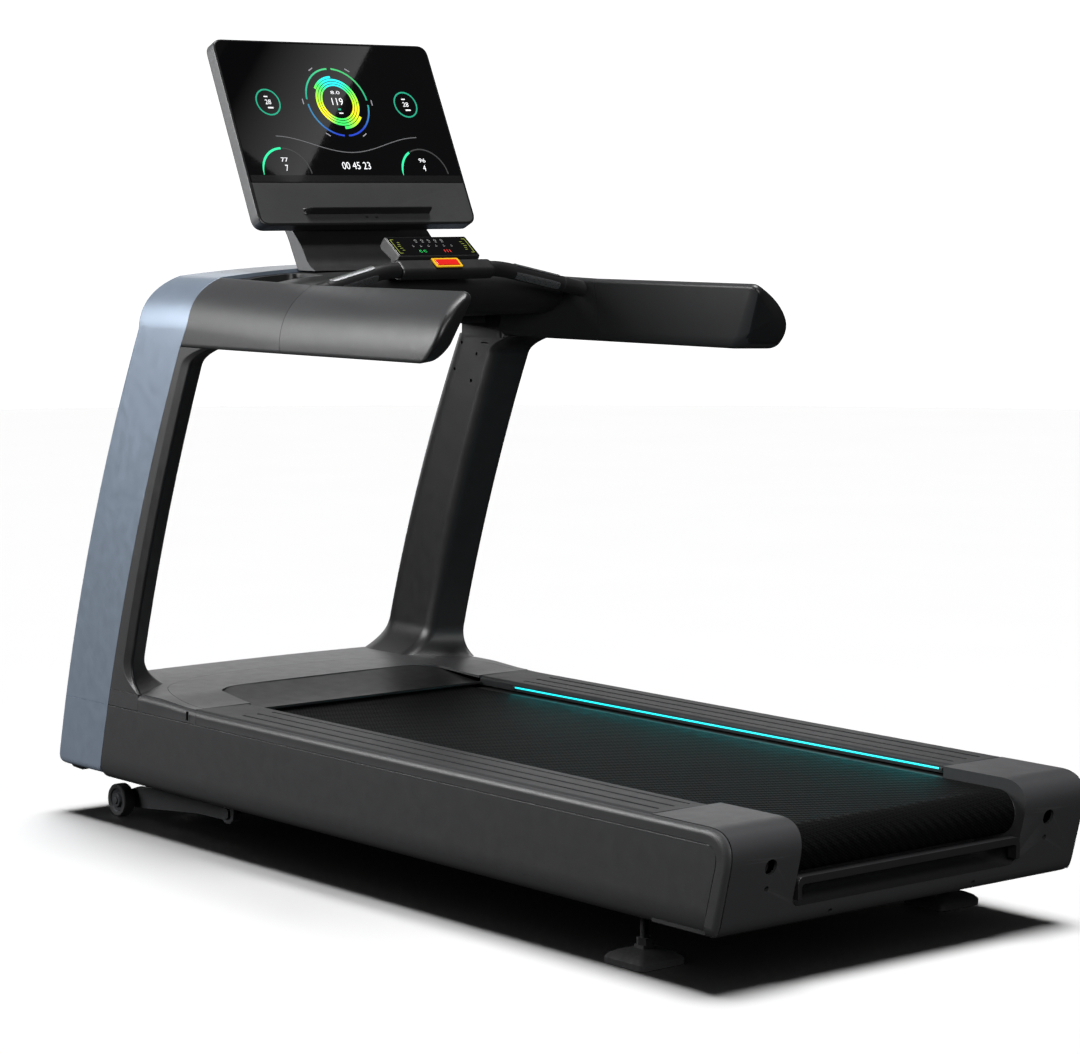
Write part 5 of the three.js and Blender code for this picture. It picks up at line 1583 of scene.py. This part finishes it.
KEPT = {
    "frame_steel": (FRAME_PAINT, 1.0),
    "black_shell": (SOFT_BLACK, 0.8),
    "charcoal_shell": (CHARCOAL, 0.8),
    "rubber": (RUBBER, 0.5),
    "deck_board": (BOARD, 1.0),
    "bare_metal": (STEEL_ROLLER, 0.4),
    "brushed_steel": (STEEL_X, 0.4),
    "stop_red": (STOP_RED, 0.5),
}


def keep_cad_nodes():
    """Give every CAD node that still shows its finish and slightly rounded edges."""
    special = {
        "running_deck": BOARD, "drive_belt": RUBBER, "controller": BARE_METAL, "drive_motor": FRAME_PAINT,
    }
    for name, obj in frame["nodes"].items():
        if obj.hide_render:
            continue
        slot_name = obj.data.materials[0].name.split(".")[0]
        material, edge = KEPT[slot_name]
        if name == "power_switch":
            material, edge = KEPT["stop_red"]
        obj.data.materials[0] = special.get(name, material)
        obj.data.polygons.foreach_set("use_smooth", [True] * len(obj.data.polygons))
        weld = obj.modifiers.new("joined_corners", "WELD")
        weld.merge_threshold = 0.00001
        round_edges(obj, edge, 2, 32)
        keep_flats(obj)


keep_cad_nodes()


# ---- Stage --------------------------------------------------------------------------------------

def reflection_card(eye):
    """A card that only mirrors see: it lays a slanting bright field with one crisp edge on the screen."""
    normal = (metres(on_display(0, 0, 1)) - metres(on_display(0, 0, 0))).normalized()
    origin = metres(on_display(0, 0))
    mirrored_eye = eye - normal * 2 * (eye - origin).dot(normal)
    edge_high, edge_low, fade = [metres(on_display(*p)) for p in ((150, 447), (-171, 80), (-300, 360))]
    distance = 1.4
    high, low, away = [mirrored_eye + (p - mirrored_eye) * distance for p in (edge_high, edge_low, fade)]
    run = (high - low).normalized()
    across = away - low
    across = across - run * across.dot(run)
    card = bpy.data.meshes.new("reflection_card")
    card.from_pydata([low, high, high + across, low + across], [], [(0, 1, 2, 3)])
    layer = card.uv_layers.new(name="fade")
    for loop, uv in enumerate(((0, 0), (0, 1), (1, 1), (1, 0))):
        layer.data[loop].uv = uv
    glow = Finish("reflection_card", (0, 0, 0), 1.0, specular=0.0)
    split = glow.node("SeparateXYZ")
    glow.link(glow.node("UVMap", {"uv_map": "fade"}).outputs["UV"], split.inputs["Vector"])
    glow.shader.inputs["Emission Color"].default_value = (1, 1, 1, 1)
    glow.link(glow.remap(split.outputs["X"], 0.0, 0.75, 0.8, 0.0), glow.shader.inputs["Emission Strength"])
    card.materials.append(glow.material)
    body = bpy.data.objects.new("reflection_card", card)
    for ray in ("camera", "diffuse", "shadow", "transmission"):
        setattr(body, f"visible_{ray}", False)
    bpy.context.scene.collection.objects.link(body)


def studio():
    scene = bpy.context.scene
    pale = Finish("pale_floor", (0.86, 0.86, 0.86), 0.6, specular=0.2)
    pale.paint(pale.mix(pale.noise(1.5), (0.85, 0.85, 0.85), (0.87, 0.87, 0.87)))
    reach = 60
    floor_mesh = bpy.data.meshes.new("floor")
    floor_corners = [(-reach, -reach, 0), (reach, -reach, 0), (reach, reach, 0), (-reach, reach, 0)]
    floor_mesh.from_pydata(floor_corners, [], [(0, 1, 2, 3)])
    floor_mesh.materials.append(pale.material)
    floor = bpy.data.objects.new("floor", floor_mesh)
    floor.visible_diffuse = False
    floor.visible_glossy = False
    scene.collection.objects.link(floor)

    white = Finish("backdrop_white", (1, 1, 1), 1.0)
    white.shader.inputs["Emission Color"].default_value = (1, 1, 1, 1)
    white.shader.inputs["Emission Strength"].default_value = 1.0
    radius, height, sides = 14.0, 12.0, 96
    turns = [math.tau * k / sides for k in range(sides)]
    wall = [[(radius * math.cos(t), radius * math.sin(t), z) for t in turns] for z in (-0.01, height)]
    points, faces = loft(wall)
    wall_mesh = bpy.data.meshes.new("backdrop")
    wall_mesh.from_pydata(points, [], faces[:-2] + faces[-1:])
    wall_mesh.materials.append(white.material)
    backdrop = bpy.data.objects.new("backdrop", wall_mesh)
    backdrop.visible_diffuse = False
    backdrop.visible_glossy = False
    backdrop.visible_transmission = False
    backdrop.visible_shadow = False
    scene.collection.objects.link(backdrop)

    world = bpy.data.worlds.new("soft_white")
    world.use_nodes = True
    world.node_tree.nodes["Background"].inputs["Color"].default_value = (1, 1, 1, 1)
    world.node_tree.nodes["Background"].inputs["Strength"].default_value = 0.02
    scene.world = world

    overhead = bpy.data.lights.new("overhead", "SUN")
    overhead.energy = 3.9
    overhead.angle = math.radians(26)
    sun = bpy.data.objects.new("overhead", overhead)
    sun.rotation_euler = (math.radians(2), math.radians(3), 0)
    scene.collection.objects.link(sun)

    lit_things = bpy.data.collections.new("all_but_floor")
    lit_things.objects.link(floor)
    lit_things.collection_objects[0].light_linking.link_state = "EXCLUDE"

    def softbox(name, place, target, width, height, power, color=(1, 1, 1)):
        light = bpy.data.lights.new(name, "AREA")
        light.shape = "RECTANGLE"
        light.size, light.size_y = width, height
        light.energy = power
        light.color = color
        lamp = bpy.data.objects.new(name, light)
        lamp.location = place
        lamp.rotation_euler = (Vector(target) - Vector(place)).to_track_quat("-Z", "Y").to_euler()
        lamp.visible_camera = False
        lamp.light_linking.receiver_collection = lit_things
        scene.collection.objects.link(lamp)
        return lamp

    softbox("behind", (3.4, 6.4, 2.2), (0, 0, 0.5), 7.0, 3.2, 80)
    softbox("left", (-3.6, 2.6, 2.2), (-0.4, 0.3, 0.6), 2.6, 2.2, 215)
    softbox("rear_fill", (-1.6, -5.5, 2.4), (0, -0.8, 0.3), 3.0, 2.0, 165)
    strip_middle = (LIGHT_REAR + LIGHT_FRONT) / 2
    length = (LIGHT_FRONT - LIGHT_REAR) * MM
    for side in (-1, 1):
        place = metres((side * 300, strip_middle, BELT_TOP + 12))
        glow = softbox(f"strip_glow_{side + 2}", place, place, 0.006, length, 0.35, (0.01, 0.7, 0.75))
        glow.rotation_euler = (0, side * math.radians(62), 0)

    azimuth, elevation = math.radians(-39.26), math.radians(6.02)
    back = Vector((
        math.sin(azimuth) * math.cos(elevation),
        -math.cos(azimuth) * math.cos(elevation),
        math.sin(elevation),
    ))
    lens = bpy.data.cameras.new("camera")
    lens.sensor_width = 36
    lens.lens = 107.74
    lens.clip_end = 100
    camera = bpy.data.objects.new("camera", lens)
    camera.location = (-4.1085, -5.0628, 1.3813)
    camera.rotation_euler = back.to_track_quat("Z", "Y").to_euler()
    scene.collection.objects.link(camera)
    reflection_card(camera.location)
    scene.camera = camera
    scene.view_settings.view_transform = "Standard"


studio()
